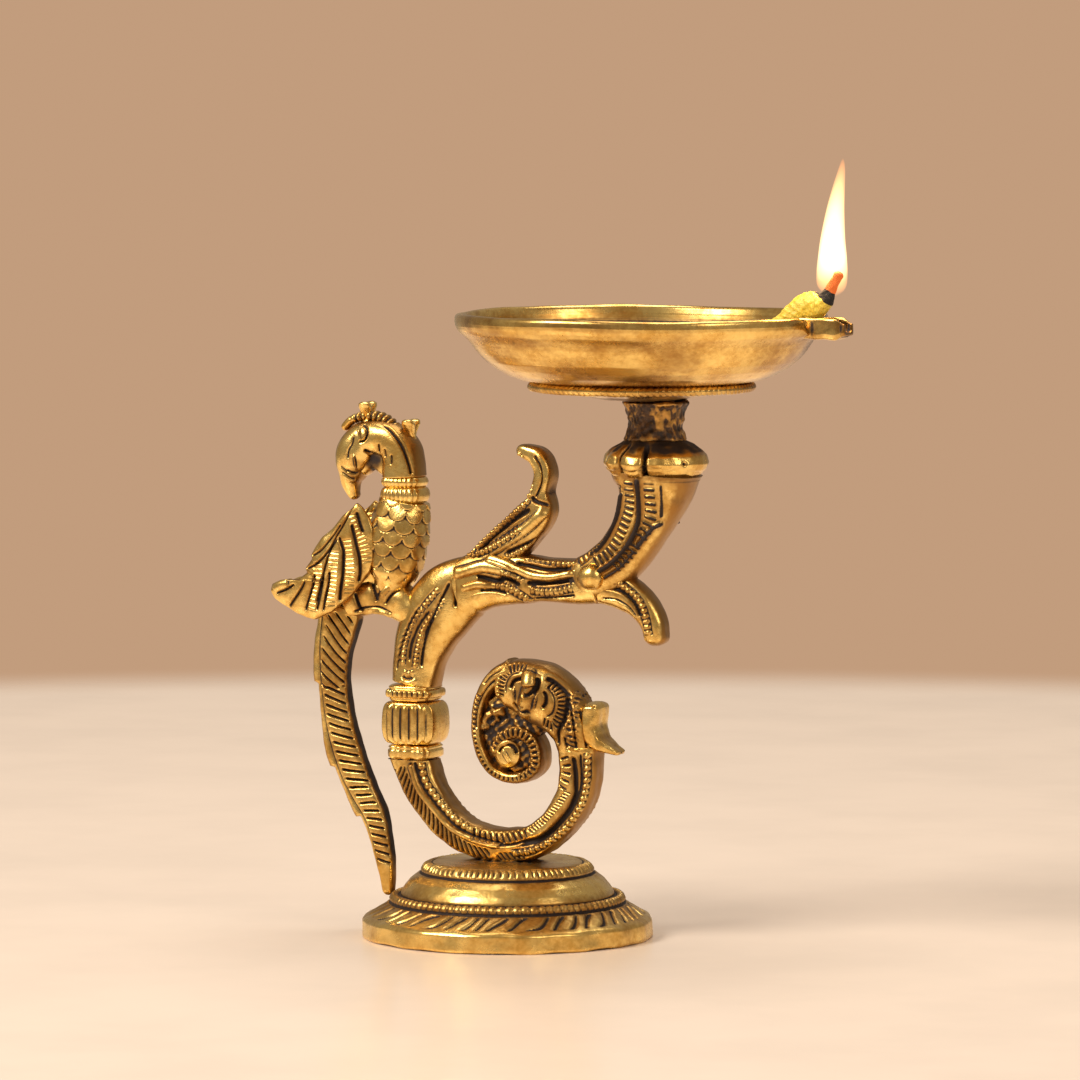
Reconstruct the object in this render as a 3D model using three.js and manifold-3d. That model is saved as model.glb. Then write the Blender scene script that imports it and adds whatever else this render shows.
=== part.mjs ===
// A brass oil lamp. A stepped round foot carries a scroll that ends in a curled-trunk yali head. A peacock
// and a leafy branch grow from the scroll, and the branch ends in a bud that holds an oil dish with one wick.
// Millimetres, +Z up. The figure stands in the XZ plane, and x = 0 is the foot's axis until the last lines,
// which move the whole lamp so that the middle of its footprint is the origin.
import * as THREE from "three";
import { mergeVertices } from "three/addons/utils/BufferGeometryUtils.js";
import Module from "manifold-3d";

const wasm = await Module();
wasm.setup();

// ---- Driving dimensions ----
const GAP = 0.3; // left between castings that touch
const FOOTPRINT_MIDDLE = 14; // the footprint's middle, from the foot's axis

const FOOT_RADIUS = 36.5;
const FOOT_HEIGHT = 18.8;
const FOOT_WALL = 2.7;
const BOLT_RADIUS = 2.3;
const BOLT_TOP = 25;
const BOLT_HEAD_RADIUS = 4.6;
const BOLT_HEAD_HEIGHT = 3.6;
const WASHER_RADIUS = 6.2;
const WASHER_THICKNESS = 0.9;

const COLLAR_X = -25.4;
const COLLAR_BOTTOM = 43.9;
const COLLAR_TOP = 62.6;
const BUD_X = 40.3;
const BUD_RADIUS = 13;
const BUD_BASE = 116.6;
const BUD_TOP = 126.2;
const NECK_TOP = 135.6;
const STUD_RADIUS = 3;
const STUD_BOTTOM = 129.2;
const STUD_TOP = 138.8;

const DISH_X = 36.5;
const DISH_RADIUS = 46.4;
const DISH_FOOT_RADIUS = 28.3;
const DISH_FOOT_BOTTOM = 136;
const DISH_FLOOR = 140.4;
const DISH_RIM = 157.5;
const SPOUT_TIP = 91.5;
const SPOUT_ROOT = 78.6;
const SPOUT_HALF_WIDTH = 3.7;
const SPOUT_WALL = 1.2;
const SPOUT_BOTTOM = 151.9;
const SPOUT_TOP = 157.2;

const RUMP_HALF_THICKNESS = 3.5;
const WING_THICKNESS = 3;
const NECK_X = -28.2;

// ---- Materials ----
const brass = new THREE.MeshStandardMaterial({ color: 0xc9973f, roughness: 0.28, metalness: 1 });
const darkBrass = new THREE.MeshStandardMaterial({ color: 0x3a2a18, roughness: 0.75, metalness: 0.6 });
const steel = new THREE.MeshStandardMaterial({ color: 0x8d8c88, roughness: 0.4, metalness: 1 });
const cotton = new THREE.MeshStandardMaterial({ color: 0xd9b040, roughness: 0.9, metalness: 0 });

// ---- Making solids ----

// A closed geometry as a manifold-3d solid.
function solidOf(geometry) {
  const bare = geometry.index ? geometry.toNonIndexed() : geometry.clone();
  bare.deleteAttribute("normal");
  bare.deleteAttribute("uv");
  const merged = mergeVertices(bare, 1e-4);
  return new wasm.Manifold(
    new wasm.Mesh({
      numProp: 3,
      vertProperties: merged.attributes.position.array,
      triVerts: new Uint32Array(merged.index.array),
    }),
  );
}

// A manifold-3d solid as a geometry.
function geometryOf(solid) {
  const mesh = solid.getMesh();
  const geometry = new THREE.BufferGeometry();
  geometry.setAttribute("position", new THREE.BufferAttribute(mesh.vertProperties, 3));
  geometry.setIndex(new THREE.BufferAttribute(mesh.triVerts, 1));
  return geometry;
}

// A geometry less the solids that stand in its way.
const without = (geometry, ...others) =>
  geometryOf(others.reduce((rest, other) => rest.subtract(solidOf(other)), solidOf(geometry)));

// Several geometries joined into one.
const joined = (first, ...others) =>
  geometryOf(others.reduce((sum, other) => sum.add(solidOf(other)), solidOf(first)));

// A turned piece about the vertical line at x, from a profile of [radius, z] points in order up the outside.
function turned(profile, x, segments = 40) {
  const points = profile.map(([radius, z]) => new THREE.Vector2(radius, z));
  return new THREE.LatheGeometry(points, segments).rotateX(Math.PI / 2).translate(x, 0, 0);
}

// A block that covers everything above z, or below it where side is -1, to cut a casting square near x.
const slab = (x, z, side = 1) => new THREE.BoxGeometry(30, 40, 60).translate(x, 0, z + side * 30);

// A round pin along Z.
const pin = (radius, low, high, x, segments = 20) =>
  new THREE.CylinderGeometry(radius, radius, high - low, segments)
    .rotateX(Math.PI / 2)
    .translate(x, 0, (low + high) / 2);

// A cast bar bent along a flat curve. Each station is [x, z, width in the plane, thickness across it]. The
// section is a superellipse: power 2 is round, and a higher power is squarer. grow makes it fatter all over.
function bar(stations, { sides = 10, steps = 2 * stations.length, power = 3, grow = 0 } = {}) {
  const line = new THREE.CatmullRomCurve3(
    stations.map(([x, z]) => new THREE.Vector3(x, 0, z)), false, "catmullrom", 0.5);
  const size = new THREE.CatmullRomCurve3(
    stations.map(([, , width, thickness]) => new THREE.Vector3(width, 0, thickness)), false, "catmullrom", 0.5);
  const geometry = new THREE.CylinderGeometry(1, 1, 1, sides, steps);
  const place = geometry.attributes.position;
  const rounded = (value) => Math.sign(value) * Math.abs(value) ** (2 / power);
  for (let i = 0; i < place.count; i++) {
    const along = 0.5 + place.getY(i);
    const reach = Math.hypot(place.getX(i), place.getZ(i));
    const turn = Math.atan2(place.getZ(i), place.getX(i));
    const middle = line.getPoint(along);
    const tangent = line.getTangent(along);
    const { x: width, z: thickness } = size.getPoint(along);
    const aside = (width / 2 + grow) * rounded(Math.cos(turn)) * reach;
    const across = (thickness / 2 + grow) * rounded(Math.sin(turn)) * reach;
    const beyond = along < 1e-6 ? -grow : along > 1 - 1e-6 ? grow : 0;
    place.setXYZ(
      i,
      middle.x - tangent.z * aside + tangent.x * beyond,
      across,
      middle.z + tangent.x * aside + tangent.z * beyond,
    );
  }
  return geometry;
}

// A flat plate with a smooth outline of [x, z] points, between y = near and y = far.
function plate(outline, near, far) {
  const curve = new THREE.SplineCurve([...outline, outline[0]].map(([x, z]) => new THREE.Vector2(x, z)));
  const shape = new THREE.Shape(curve.getPoints(outline.length * 2).slice(0, -1));
  return new THREE.ExtrudeGeometry(shape, { depth: far - near, bevelEnabled: false, steps: 1 })
    .rotateX(Math.PI / 2)
    .translate(0, far, 0);
}

// ---- The foot and its bolt ----

function foot() {
  const hole = BOLT_RADIUS + GAP;
  const under = FOOT_HEIGHT - FOOT_WALL;
  return turned([
    [FOOT_RADIUS - 3.2, 0], [FOOT_RADIUS, 0], [FOOT_RADIUS, 4.3], [36, 5], [34.8, 5.6], [31.5, 7.6],
    [29.6, 8.9], [28.6, 10.3], [27.4, 10.5], [26, 12.6], [24.5, 14.4], [21.9, 16.3], [21.8, 17],
    [20.8, 18.1], [19, FOOT_HEIGHT],
    [hole, FOOT_HEIGHT], [hole, under], [18.4, under], [23.2, 11.4], [26, 8], [32.4, 3.2], [FOOT_RADIUS - 3.2, 0],
  ], 0, 44);
}

const washerTop = FOOT_HEIGHT - FOOT_WALL - GAP;
const boltHeadTop = washerTop - WASHER_THICKNESS - GAP;

const boltWasher = () => turned([
  [BOLT_RADIUS + GAP, washerTop - WASHER_THICKNESS], [WASHER_RADIUS, washerTop - WASHER_THICKNESS],
  [WASHER_RADIUS, washerTop], [BOLT_RADIUS + GAP, washerTop],
  [BOLT_RADIUS + GAP, washerTop - WASHER_THICKNESS],
], 0, 24);

const footBolt = () => joined(
  pin(BOLT_HEAD_RADIUS, boltHeadTop - BOLT_HEAD_HEIGHT, boltHeadTop, 0, 6),
  pin(BOLT_RADIUS, boltHeadTop - 0.5, BOLT_TOP, 0),
);

// ---- The scroll, its collar and the yali head ----

const SCROLL = [
  [-26, 47, 11.4, 9.6], [-25.4, 43.7, 11.2, 9.6], [-23, 37.4, 10.2, 9.4], [-19.8, 32.4, 9.2, 9.2],
  [-15.6, 27.9, 8.8, 9.2], [-11, 24.9, 8.6, 9.2], [-5.4, 23.5, 8.2, 9.2], [0.8, 23.2, 8, 9.2],
  [7.2, 24.3, 8.2, 9.2], [12.1, 27, 8.4, 9.2], [16.2, 31.4, 8.8, 9.2], [19.1, 36.4, 9.6, 9.2],
  [20.3, 42, 10, 9.2], [20.2, 48, 10.6, 9.4],
];
const YALI_HEAD = [
  [20, 48.6, 10.4, 10], [18.6, 53, 12, 12], [15.2, 58, 14.4, 13], [10.6, 61.2, 15.8, 13.4],
  [5.8, 63, 14.4, 12.8], [1.2, 63.6, 12, 11.6], [-1.4, 63.6, 8, 9.6],
];
const YALI_TRUNK = [
  [2.5, 67.5, 6, 10], [-2.2, 65, 5, 10], [-5.2, 61.2, 3.8, 9.8], [-6.8, 56.5, 3.3, 9.6], [-6.9, 50.7, 3.1, 9.4],
  [-5.6, 45.7, 3.1, 9.2], [-2.8, 42, 3.1, 9.2], [1.4, 40.3, 3.1, 9.2], [5.8, 40.7, 3.1, 9.2], [8.9, 43.2, 3.3, 9],
  [9.1, 46.9, 3.5, 9], [7.5, 50.2, 3.7, 9], [4.2, 51.8, 3.7, 9], [0.8, 50.9, 3.5, 9], [-1.4, 48.4, 3, 9],
  [-2, 45.8, 2, 8.8],
];
const TRUNK_EYE = { x: 1.8, z: 46.3, radius: 3.5, thickness: 9.8 };
const COIL_WEB = [
  [-5.5, 58.5], [-6, 52], [-5, 46], [-2, 42.2], [3, 41], [7.5, 42.5], [9.8, 46.5], [9, 51], [12, 53],
  [13, 56], [8, 58.5], [2, 60.5], [-2.5, 61.5],
];
const COIL_WEB_HALF_THICKNESS = 3.1;
const EAR_FIN = [
  [24, 60.2, 3.6, 8.4], [24, 58.2, 4.8, 9.6], [23.9, 54.4, 4.4, 9.8], [24.2, 52, 4.8, 9.6], [25.6, 50.1, 3.8, 9],
  [28.2, 48.6, 2.4, 8], [31.2, 47.3, 1, 5],
];

const scroll = (grow = 0) => bar(SCROLL, { sides: 12, grow });
const yaliHead = (grow = 0) => bar(YALI_HEAD, { sides: 14, power: 2.4, grow });
const yaliTrunk = (grow = 0) => bar(YALI_TRUNK, { steps: 46, grow });
const earFin = () => bar(EAR_FIN, { power: 4 });
const trunkEye = (grow = 0) =>
  new THREE.CylinderGeometry(TRUNK_EYE.radius + grow, TRUNK_EYE.radius + grow, TRUNK_EYE.thickness + 2 * grow, 24)
    .translate(TRUNK_EYE.x, 0, TRUNK_EYE.z);

// One step of the collar: a squarish cushion about the stem, from low to high, fullest in the middle.
const collarStep = (low, high, width, thickness, swell) => {
  const stations = [
    [COLLAR_X, low, width - swell, thickness - swell],
    [COLLAR_X, low + (high - low) * 0.2, width, thickness],
    [COLLAR_X, low + (high - low) * 0.8, width, thickness],
    [COLLAR_X, high, width - swell, thickness - swell],
  ];
  return bar(stations, { sides: 16, steps: 6, power: 3.2 });
};

// ---- The stem, the branch and its leaves ----

const STEM = [
  [-25.2, 60, 11.6, 11], [-25, 63, 12, 11], [-24.1, 69, 13.4, 10.6], [-22.4, 74.5, 15.5, 10.4], [-19.6, 80, 17.4, 10.2],
  [-15.6, 84.6, 17.4, 10], [-11.4, 87.3, 15.8, 9.8],
];
const BRANCH = [
  [-11.1, 87.6, 15.6, 9.8], [-4, 89.5, 13.8, 9.4], [4.2, 90.2, 13, 9.2], [11.3, 90.2, 11.2, 9], [20.4, 90, 11.4, 9],
];
const UPPER_LEAF = [
  [-4, 94.5, 9, 7], [0.6, 98.6, 11.6, 8], [5, 103, 11, 8], [9, 107.8, 9, 8], [9.8, 112.5, 5.2, 7.8],
  [10.6, 117, 5.2, 7.6], [9, 120.6, 5.2, 7.2], [5.6, 122.2, 3.8, 6], [3, 122.4, 1.8, 3.6],
];
const LOWER_LEAF = [
  [29, 88.4, 9, 8], [33.2, 87.2, 8.8, 8], [37, 84.8, 7.6, 8], [39.7, 81, 6.8, 7.4], [40.6, 77.4, 5.6, 7],
  [40.8, 75.2, 3, 5],
];
const BUD_STEM = [
  [21, 90.4, 11.4, 9.4], [26.6, 92.6, 13.4, 10], [31.4, 96.6, 13.4, 11], [35.2, 102.1, 13.8, 12],
  [38.2, 107.8, 15.2, 13.6], [39.9, 113, 17.6, 16], [BUD_X, 119, 20, 18.4],
];

const stem = (grow = 0) => bar(STEM, { sides: 12, power: 2.6, grow });
const branch = (grow = 0) => bar(BRANCH, { sides: 12, power: 2.6, grow });
const budStem = (grow = 0) => bar(BUD_STEM, { sides: 14, power: 2.4, grow });
const upperLeaf = (grow = 0) => bar(UPPER_LEAF, { grow });
const lowerLeaf = (grow = 0) => bar(LOWER_LEAF, { grow });

// A berry on one side of the branch, where the bud's stalk and the lower leaf part.
const BERRY = { x: 25.6, z: 92.2, radius: 3.3 };
const berry = (side) => without(
  new THREE.SphereGeometry(BERRY.radius, 12, 8).scale(1.25, 0.8, 1).translate(BERRY.x, side * 5, BERRY.z),
  budStem(GAP), branch(GAP), lowerLeaf(GAP),
);

const budCup = () => turned([
  [0, BUD_BASE], [9.6, BUD_BASE], [12.2, 118.2], [BUD_RADIUS, 120.4], [12.2, 122.8], [8.6, 125.2],
  [7.4, BUD_TOP], [0, BUD_TOP],
], BUD_X, 28);

const socketNeck = () => turned([
  [0, BUD_TOP + GAP], [7.4, BUD_TOP + GAP], [6.7, 129], [7, 132], [8.4, NECK_TOP],
  [STUD_RADIUS + GAP, NECK_TOP], [STUD_RADIUS + GAP, STUD_BOTTOM - 0.8], [0, STUD_BOTTOM - 0.8],
], BUD_X, 24);

// ---- The peacock ----

const BREAST = [
  [-32.2, 87.2, 6, 7], [-31.2, 91, 11.6, 11], [-30.4, 96.6, 13.6, 12.2], [-29.7, 101.6, 13.8, 12.8],
  [-28.8, 106, 12.6, 12], [-28.2, 110, 11, 10.8],
];
const RUMP = [[-33, 99, 12, 2 * RUMP_HALF_THICKNESS], [-41, 93, 17, 2 * RUMP_HALF_THICKNESS],
  [-49, 86.6, 12, 2 * RUMP_HALF_THICKNESS], [-56, 83.6, 5, 4]];
const PERCH = [[-43.6, 82.2, 7, 6.4], [-38, 84.2, 9.2, 7.6], [-32.4, 84, 9.4, 8], [-27, 82.4, 8, 8]];
const TAIL = [
  [-46.4, 78.5, 11.6, 5.6], [-47.9, 70, 9.4, 5.5], [-47.8, 60.6, 8.1, 5.5], [-46, 50, 8.6, 5.5],
  [-43, 41, 8.6, 5.4], [-39.9, 34.5, 7.8, 5.2], [-36.6, 28.6, 6.6, 5], [-34.3, 20.4, 5.2, 4.4],
  [-33.2, 13, 3.8, 3.6], [-32.9, 8.8, 2, 2.6],
];
const HEAD = [
  [-28.3, 112.6, 10.4, 10.6], [-28.6, 118.6, 10.4, 10.6], [-29.3, 121.4, 10.2, 10.4], [-31.4, 123.6, 9.6, 10.2],
  [-35.2, 124.6, 9, 10.2], [-38.8, 123.8, 9.8, 10.8], [-41.2, 121, 10.4, 11.4], [-42.3, 118, 9, 10.6],
  [-42.8, 115.6, 7, 8.4], [-43.2, 113.2, 5, 6], [-42.6, 110.6, 3.2, 4], [-41.6, 109, 1.6, 2.4],
];
const THROAT = [[-40, 118.4, 7.4, 6.4], [-36.4, 119.6, 5.6, 6], [-32, 118.3, 7.6, 6.4]];
const CREST = [
  [-45.2, 126.6, 1.6, 2.4], [-42.6, 129, 1.8, 2.4], [-38.4, 130.1, 2.2, 2.4], [-34, 129.3, 2.6, 2.6],
  [-30.4, 126.6, 2.6, 2.6], [-27, 123, 2, 2.4], [-24.8, 119.2, 1.2, 2.2],
];
const WING_OUTLINE = [
  [-37.4, 107.9], [-40.4, 107.1], [-45.5, 101.9], [-50.5, 97.2], [-52.8, 91.3], [-57, 88.5], [-61.6, 88],
  [-63.5, 85.3], [-60.6, 82.2], [-55.6, 79.7], [-50.9, 78.4], [-45.8, 80.6], [-40.8, 84.6], [-35.7, 90.8],
  [-34.3, 97.9], [-35.3, 104.2],
];
const RING_LOW = { bottom: 108.7, top: 112.2, radius: 5.8 };
const RING_HIGH = { bottom: 112.5, top: 115, radius: 5.4 };
const CREST_KNOBS = [
  { name: "front_near", x: -38.6, z: 132.2, out: 2.4, side: -1 },
  { name: "front_far", x: -38.6, z: 132.2, out: 2.4, side: 1 },
  { name: "rear_near", x: -26.6, z: 128, out: 2.4, side: -1 },
  { name: "rear_far", x: -26.6, z: 128, out: 2.4, side: 1 },
];

const breast = (grow = 0) => bar(BREAST, { sides: 14, power: 2.2, grow });
const rump = (grow = 0) => bar(RUMP, { steps: 8, grow });
const perch = (grow = 0) => bar(PERCH, { steps: 8, grow });
const head = (grow = 0) => joined(
  bar(HEAD, { sides: 14, power: 2.2, grow }), bar(THROAT, { power: 2.6, steps: 6, grow }));
const crest = (grow = 0) => bar(CREST, { sides: 8, steps: 12, grow });
const wingNear = RUMP_HALF_THICKNESS + GAP + 0.1;
const wing = (side, grow = 0) => {
  const low = wingNear - grow;
  const high = wingNear + WING_THICKNESS + grow;
  return side < 0 ? plate(WING_OUTLINE, -high, -low) : plate(WING_OUTLINE, low, high);
};

const neckRing = ({ bottom, top, radius }) => turned([
  [0, bottom], [radius - 0.6, bottom], [radius, bottom + 0.8], [radius, top - 0.8], [radius - 0.6, top], [0, top],
], NECK_X, 24);

// A ball on a short stalk that leans outwards from the head, on the near or the far side.
function crestKnob({ x, z, out, side }) {
  const stalk = new THREE.CylinderGeometry(0.8, 1.3, 3.4, 8)
    .rotateX(Math.PI / 2)
    .translate(0, 0, -1.7)
    .rotateX(side * -0.5)
    .translate(x, side * out, z);
  const ball = new THREE.SphereGeometry(1.5, 8, 6).translate(x, side * out, z);
  return without(joined(ball, stalk), head(GAP), crest(GAP));
}

// ---- The oil dish ----

const dishFoot = () => without(
  turned([
    [0, DISH_FOOT_BOTTOM], [9.8, DISH_FOOT_BOTTOM], [21, 137.9], [27.2, 138.3], [DISH_FOOT_RADIUS, 139.2],
    [27.6, DISH_FLOOR - GAP], [0, DISH_FLOOR - GAP],
  ], DISH_X, 36),
  pin(STUD_RADIUS + GAP, DISH_FOOT_BOTTOM - 1, STUD_TOP + GAP, BUD_X, 24),
);

const spoutRoom = new THREE.BoxGeometry(20, 2 * (SPOUT_HALF_WIDTH + GAP), 10)
  .translate(SPOUT_ROOT + 10 - GAP, 0, SPOUT_BOTTOM - GAP + 5);
const SPOUT_NECK = 88;

const dishBowl = () => without(
  turned([
    [0, DISH_FLOOR], [27, DISH_FLOOR], [33.5, 142.2], [38.8, 145.4], [41.8, 148.6], [43, 150.8], [44.8, 151.8],
    [46.1, 153.8], [DISH_RADIUS, 156], [46, 157.3], [45.2, DISH_RIM], [44.2, 156.6], [43.5, 153.5],
    [41.6, 151], [39.4, 148.4], [36.3, 145.9], [31.5, 143.6], [26, 142.4], [0, 142.2],
  ], DISH_X, 48),
  spoutRoom,
);

// A channel along X whose floor carries the wick over the rim.
function dishSpout() {
  const channel = SPOUT_HALF_WIDTH - SPOUT_WALL;
  const section = new THREE.Shape([
    [-SPOUT_HALF_WIDTH + 1, SPOUT_BOTTOM], [SPOUT_HALF_WIDTH - 1, SPOUT_BOTTOM],
    [SPOUT_HALF_WIDTH, SPOUT_BOTTOM + 1], [SPOUT_HALF_WIDTH, SPOUT_TOP], [channel, SPOUT_TOP],
    [channel, SPOUT_BOTTOM + 1.6], [channel - 0.4, SPOUT_BOTTOM + 1.2], [-channel + 0.4, SPOUT_BOTTOM + 1.2],
    [-channel, SPOUT_BOTTOM + 1.6], [-channel, SPOUT_TOP], [-SPOUT_HALF_WIDTH, SPOUT_TOP],
    [-SPOUT_HALF_WIDTH, SPOUT_BOTTOM + 1],
  ].map(([y, z]) => new THREE.Vector2(y, z)));
  const run = (low, high) => new THREE.ExtrudeGeometry(section, { depth: high - low, bevelEnabled: false })
    .applyMatrix4(new THREE.Matrix4().set(0, 0, 1, low, 1, 0, 0, 0, 0, 1, 0, 0, 0, 0, 0, 1));
  const tip = run(SPOUT_NECK - 0.001, SPOUT_TIP);
  const middle = (SPOUT_BOTTOM + SPOUT_TOP) / 2;
  const place = tip.attributes.position;
  for (let i = 0; i < place.count; i++) {
    if (place.getX(i) < SPOUT_TIP - 0.1) continue;
    place.setY(i, place.getY(i) * 0.6);
    place.setZ(i, middle + (place.getZ(i) - middle) * 0.5);
  }
  return joined(run(SPOUT_ROOT, SPOUT_NECK), tip);
}

// The wick lies straight from the bowl's floor to the spout, so that it can be fed along its own line, and
// its lit end turns up beyond the rim.
const WICK = [
  [46, 146.6, 3.2, 3.2], [58, 150.2, 3.6, 3.6], [70, 153.8, 3.8, 3.8], [74, 155.6, 4.2, 4.2],
  [77, 157.4, 5.4, 4.6], [80, 159.1, 7, 4.6], [83, 160.2, 6.8, 4.6], [85.2, 161.4, 4.6, 4], [86.8, 164.2, 2.8, 2.6],
  [89, 168.2, 2.2, 2.2],
];
const wick = () => bar(WICK, { sides: 8, steps: 18, power: 2 });

const dishStud = () => turned([
  [0, STUD_BOTTOM], [STUD_RADIUS - 0.6, STUD_BOTTOM], [STUD_RADIUS, STUD_BOTTOM + 0.6],
  [STUD_RADIUS, STUD_TOP], [0, STUD_TOP],
], BUD_X, 20);

// ---- The assembly ----

const lamp = new THREE.Group();
const add = (name, geometry, material = brass) => {
  const mesh = new THREE.Mesh(geometry, material);
  mesh.name = name;
  lamp.add(mesh);
};

add("base_foot", foot());
add("base_bolt", footBolt(), steel);
add("base_washer", boltWasher(), steel);

add("scroll_strap", without(
  scroll(), slab(COLLAR_X, COLLAR_BOTTOM - GAP), pin(BOLT_RADIUS + GAP, FOOT_HEIGHT - 2, BOLT_TOP + GAP, 0)));
add("yali_head", without(yaliHead(), scroll(GAP)));
add("yali_trunk", without(yaliTrunk(), yaliHead(GAP)));
add("trunk_eye", without(trunkEye(), yaliTrunk(GAP)));
add("coil_web", without(
  plate(COIL_WEB, -COIL_WEB_HALF_THICKNESS, COIL_WEB_HALF_THICKNESS),
  yaliHead(GAP), yaliTrunk(GAP), scroll(GAP), trunkEye(GAP)));
add("yali_ear_fin", without(earFin(), scroll(GAP), yaliHead(GAP)));

add("collar_lower_ring", collarStep(COLLAR_BOTTOM, 47.4, 12, 13, 0.8));
add("collar_fluted_band", collarStep(47.8, 58.2, 12.8, 14, 1.2));
add("collar_upper_ring", collarStep(58.6, COLLAR_TOP, 12, 13, 0.8));

add("upper_stem", without(stem(), slab(COLLAR_X, COLLAR_TOP + GAP, -1)));
add("branch_arm", without(branch(), stem(GAP)));
add("upper_leaf", without(upperLeaf(), branch(GAP), stem(GAP)));
add("bud_stem", without(budStem(), branch(GAP), slab(BUD_X, BUD_BASE - GAP)));
add("lower_leaf", without(lowerLeaf(), budStem(GAP), branch(GAP)));
add("branch_berry_near", berry(-1));
add("branch_berry_far", berry(1));
add("bud_cup", budCup());
add("socket_neck", socketNeck(), darkBrass);

add("peacock_breast", without(breast(), stem(GAP), slab(NECK_X, RING_LOW.bottom - GAP)));
add("peacock_rump", without(rump(), breast(GAP)));
add("peacock_perch", without(perch(), stem(GAP), breast(GAP), rump(GAP)));
add("tail_plume", without(bar(TAIL, { sides: 8, steps: 22 }), rump(GAP), perch(GAP), wing(-1, GAP), wing(1, GAP)));
add("wing_near", without(wing(-1), breast(GAP), perch(GAP)));
add("wing_far", without(wing(1), breast(GAP), perch(GAP)));
add("neck_ring_lower", neckRing(RING_LOW));
add("neck_ring_upper", neckRing(RING_HIGH));
const neckSocket = pin(RING_HIGH.radius + 1, RING_LOW.top, RING_HIGH.top + GAP, NECK_X);
add("peacock_head", without(head(), neckSocket, wing(-1, GAP), wing(1, GAP)));
add("crest_ridge", without(crest(), head(GAP)));
CREST_KNOBS.forEach((knob) => add("crest_knob_" + knob.name, crestKnob(knob)));

add("dish_stud", dishStud());
add("dish_foot", dishFoot());
add("dish_bowl", dishBowl());
add("dish_spout", dishSpout());
add("wick", wick(), cotton);

lamp.position.x = -FOOTPRINT_MIDDLE;

export default lamp;
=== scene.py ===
"""A cast brass oil lamp: a peacock and a curled-trunk yali on a scroll, a leafy branch, and an oil dish."""

import logging
import math
from dataclasses import dataclass
from enum import Enum
from typing import Callable, Sequence

import bpy
import numpy as np
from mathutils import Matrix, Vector


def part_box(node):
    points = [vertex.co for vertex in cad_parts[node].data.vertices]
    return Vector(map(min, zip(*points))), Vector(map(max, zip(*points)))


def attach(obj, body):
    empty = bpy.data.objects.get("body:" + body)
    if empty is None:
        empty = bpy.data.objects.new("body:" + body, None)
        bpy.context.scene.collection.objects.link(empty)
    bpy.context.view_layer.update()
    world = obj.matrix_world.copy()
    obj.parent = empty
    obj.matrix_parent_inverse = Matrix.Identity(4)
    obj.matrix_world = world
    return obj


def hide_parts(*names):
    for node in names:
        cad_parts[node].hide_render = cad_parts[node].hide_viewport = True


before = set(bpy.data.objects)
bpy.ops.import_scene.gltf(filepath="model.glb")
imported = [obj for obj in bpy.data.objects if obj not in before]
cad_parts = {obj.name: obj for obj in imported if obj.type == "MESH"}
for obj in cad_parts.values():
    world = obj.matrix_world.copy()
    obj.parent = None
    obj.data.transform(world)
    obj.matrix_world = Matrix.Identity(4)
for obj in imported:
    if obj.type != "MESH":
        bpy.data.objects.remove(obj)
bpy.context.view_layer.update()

MM = 0.001
SEED = 7
CURVE_STEPS = 24
OUTLINE_STEPS = 1440
MARK_STEP = 0.5
TIP_MIN = 0.004
PATINA_AND_SHADE_MAX = 1.2
MIX_INPUTS, MIX_RESULT = (0, 6, 7), 2
Array = np.ndarray
Measure = Array | float
Points = Sequence[tuple[float, ...]]
LOG = logging.getLogger("lamp")


FOOT_MIDDLE = np.array(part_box("base_foot")).mean(0) / MM * (1, 1, 0)


def span(node: str) -> Array:
    """Returns the two corners of a CAD node's box, in millimetres from the foot's middle."""
    return np.array(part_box(node)) / MM - FOOT_MIDDLE


# ---------------------------------------------------------------- numbers


def smooth(low: float, high: float, value: Array) -> Array:
    """Returns 0 below low and 1 above high, with a smooth step between."""
    share = np.clip((value - low) / (high - low), 0, 1)
    return share * share * (3 - 2 * share)


def dome(value: Array) -> Array:
    """Returns a round hump, 1 where value is 0 and 0 from 1 outwards."""
    return np.sqrt(np.clip(1 - value * value, 0, 1))


def saw(value: Array) -> Array:
    """Returns where value lies within its whole step, from -1 to 1."""
    return 2 * (value - np.floor(value)) - 1


def ripple(points: Array, size: float, seed: int = SEED) -> Array:
    """Soft unevenness of a hand-made surface.

    Args:
        points: Places in millimetres, with x, y and z in the last axis.
        size: The usual distance between humps, in millimetres.
        seed: Which pattern to use.

    Returns:
        One height for each place, mostly between -1 and 1.
    """
    draw = np.random.default_rng(seed)
    total = np.zeros(points.shape[:-1])
    waves = 7
    for _ in range(waves):
        direction = draw.normal(size=3)
        direction *= 2 * math.pi / size / np.linalg.norm(direction) * draw.uniform(0.6, 1.5)
        total += np.sin(points @ direction + draw.uniform(0, 2 * math.pi))
    return total / math.sqrt(2 * waves)


def lengths(line: Array) -> Array:
    """Returns how far along a line of corners each corner is."""
    return np.concatenate([[0], np.cumsum(np.hypot(*np.diff(line, axis=0).T))])


def columns(rows: Array, walked: Array, places: Array) -> list[Array]:
    """Returns each column of a line's rows, read at places along the line."""
    return [np.interp(places, walked, column) for column in rows.T]


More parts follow.
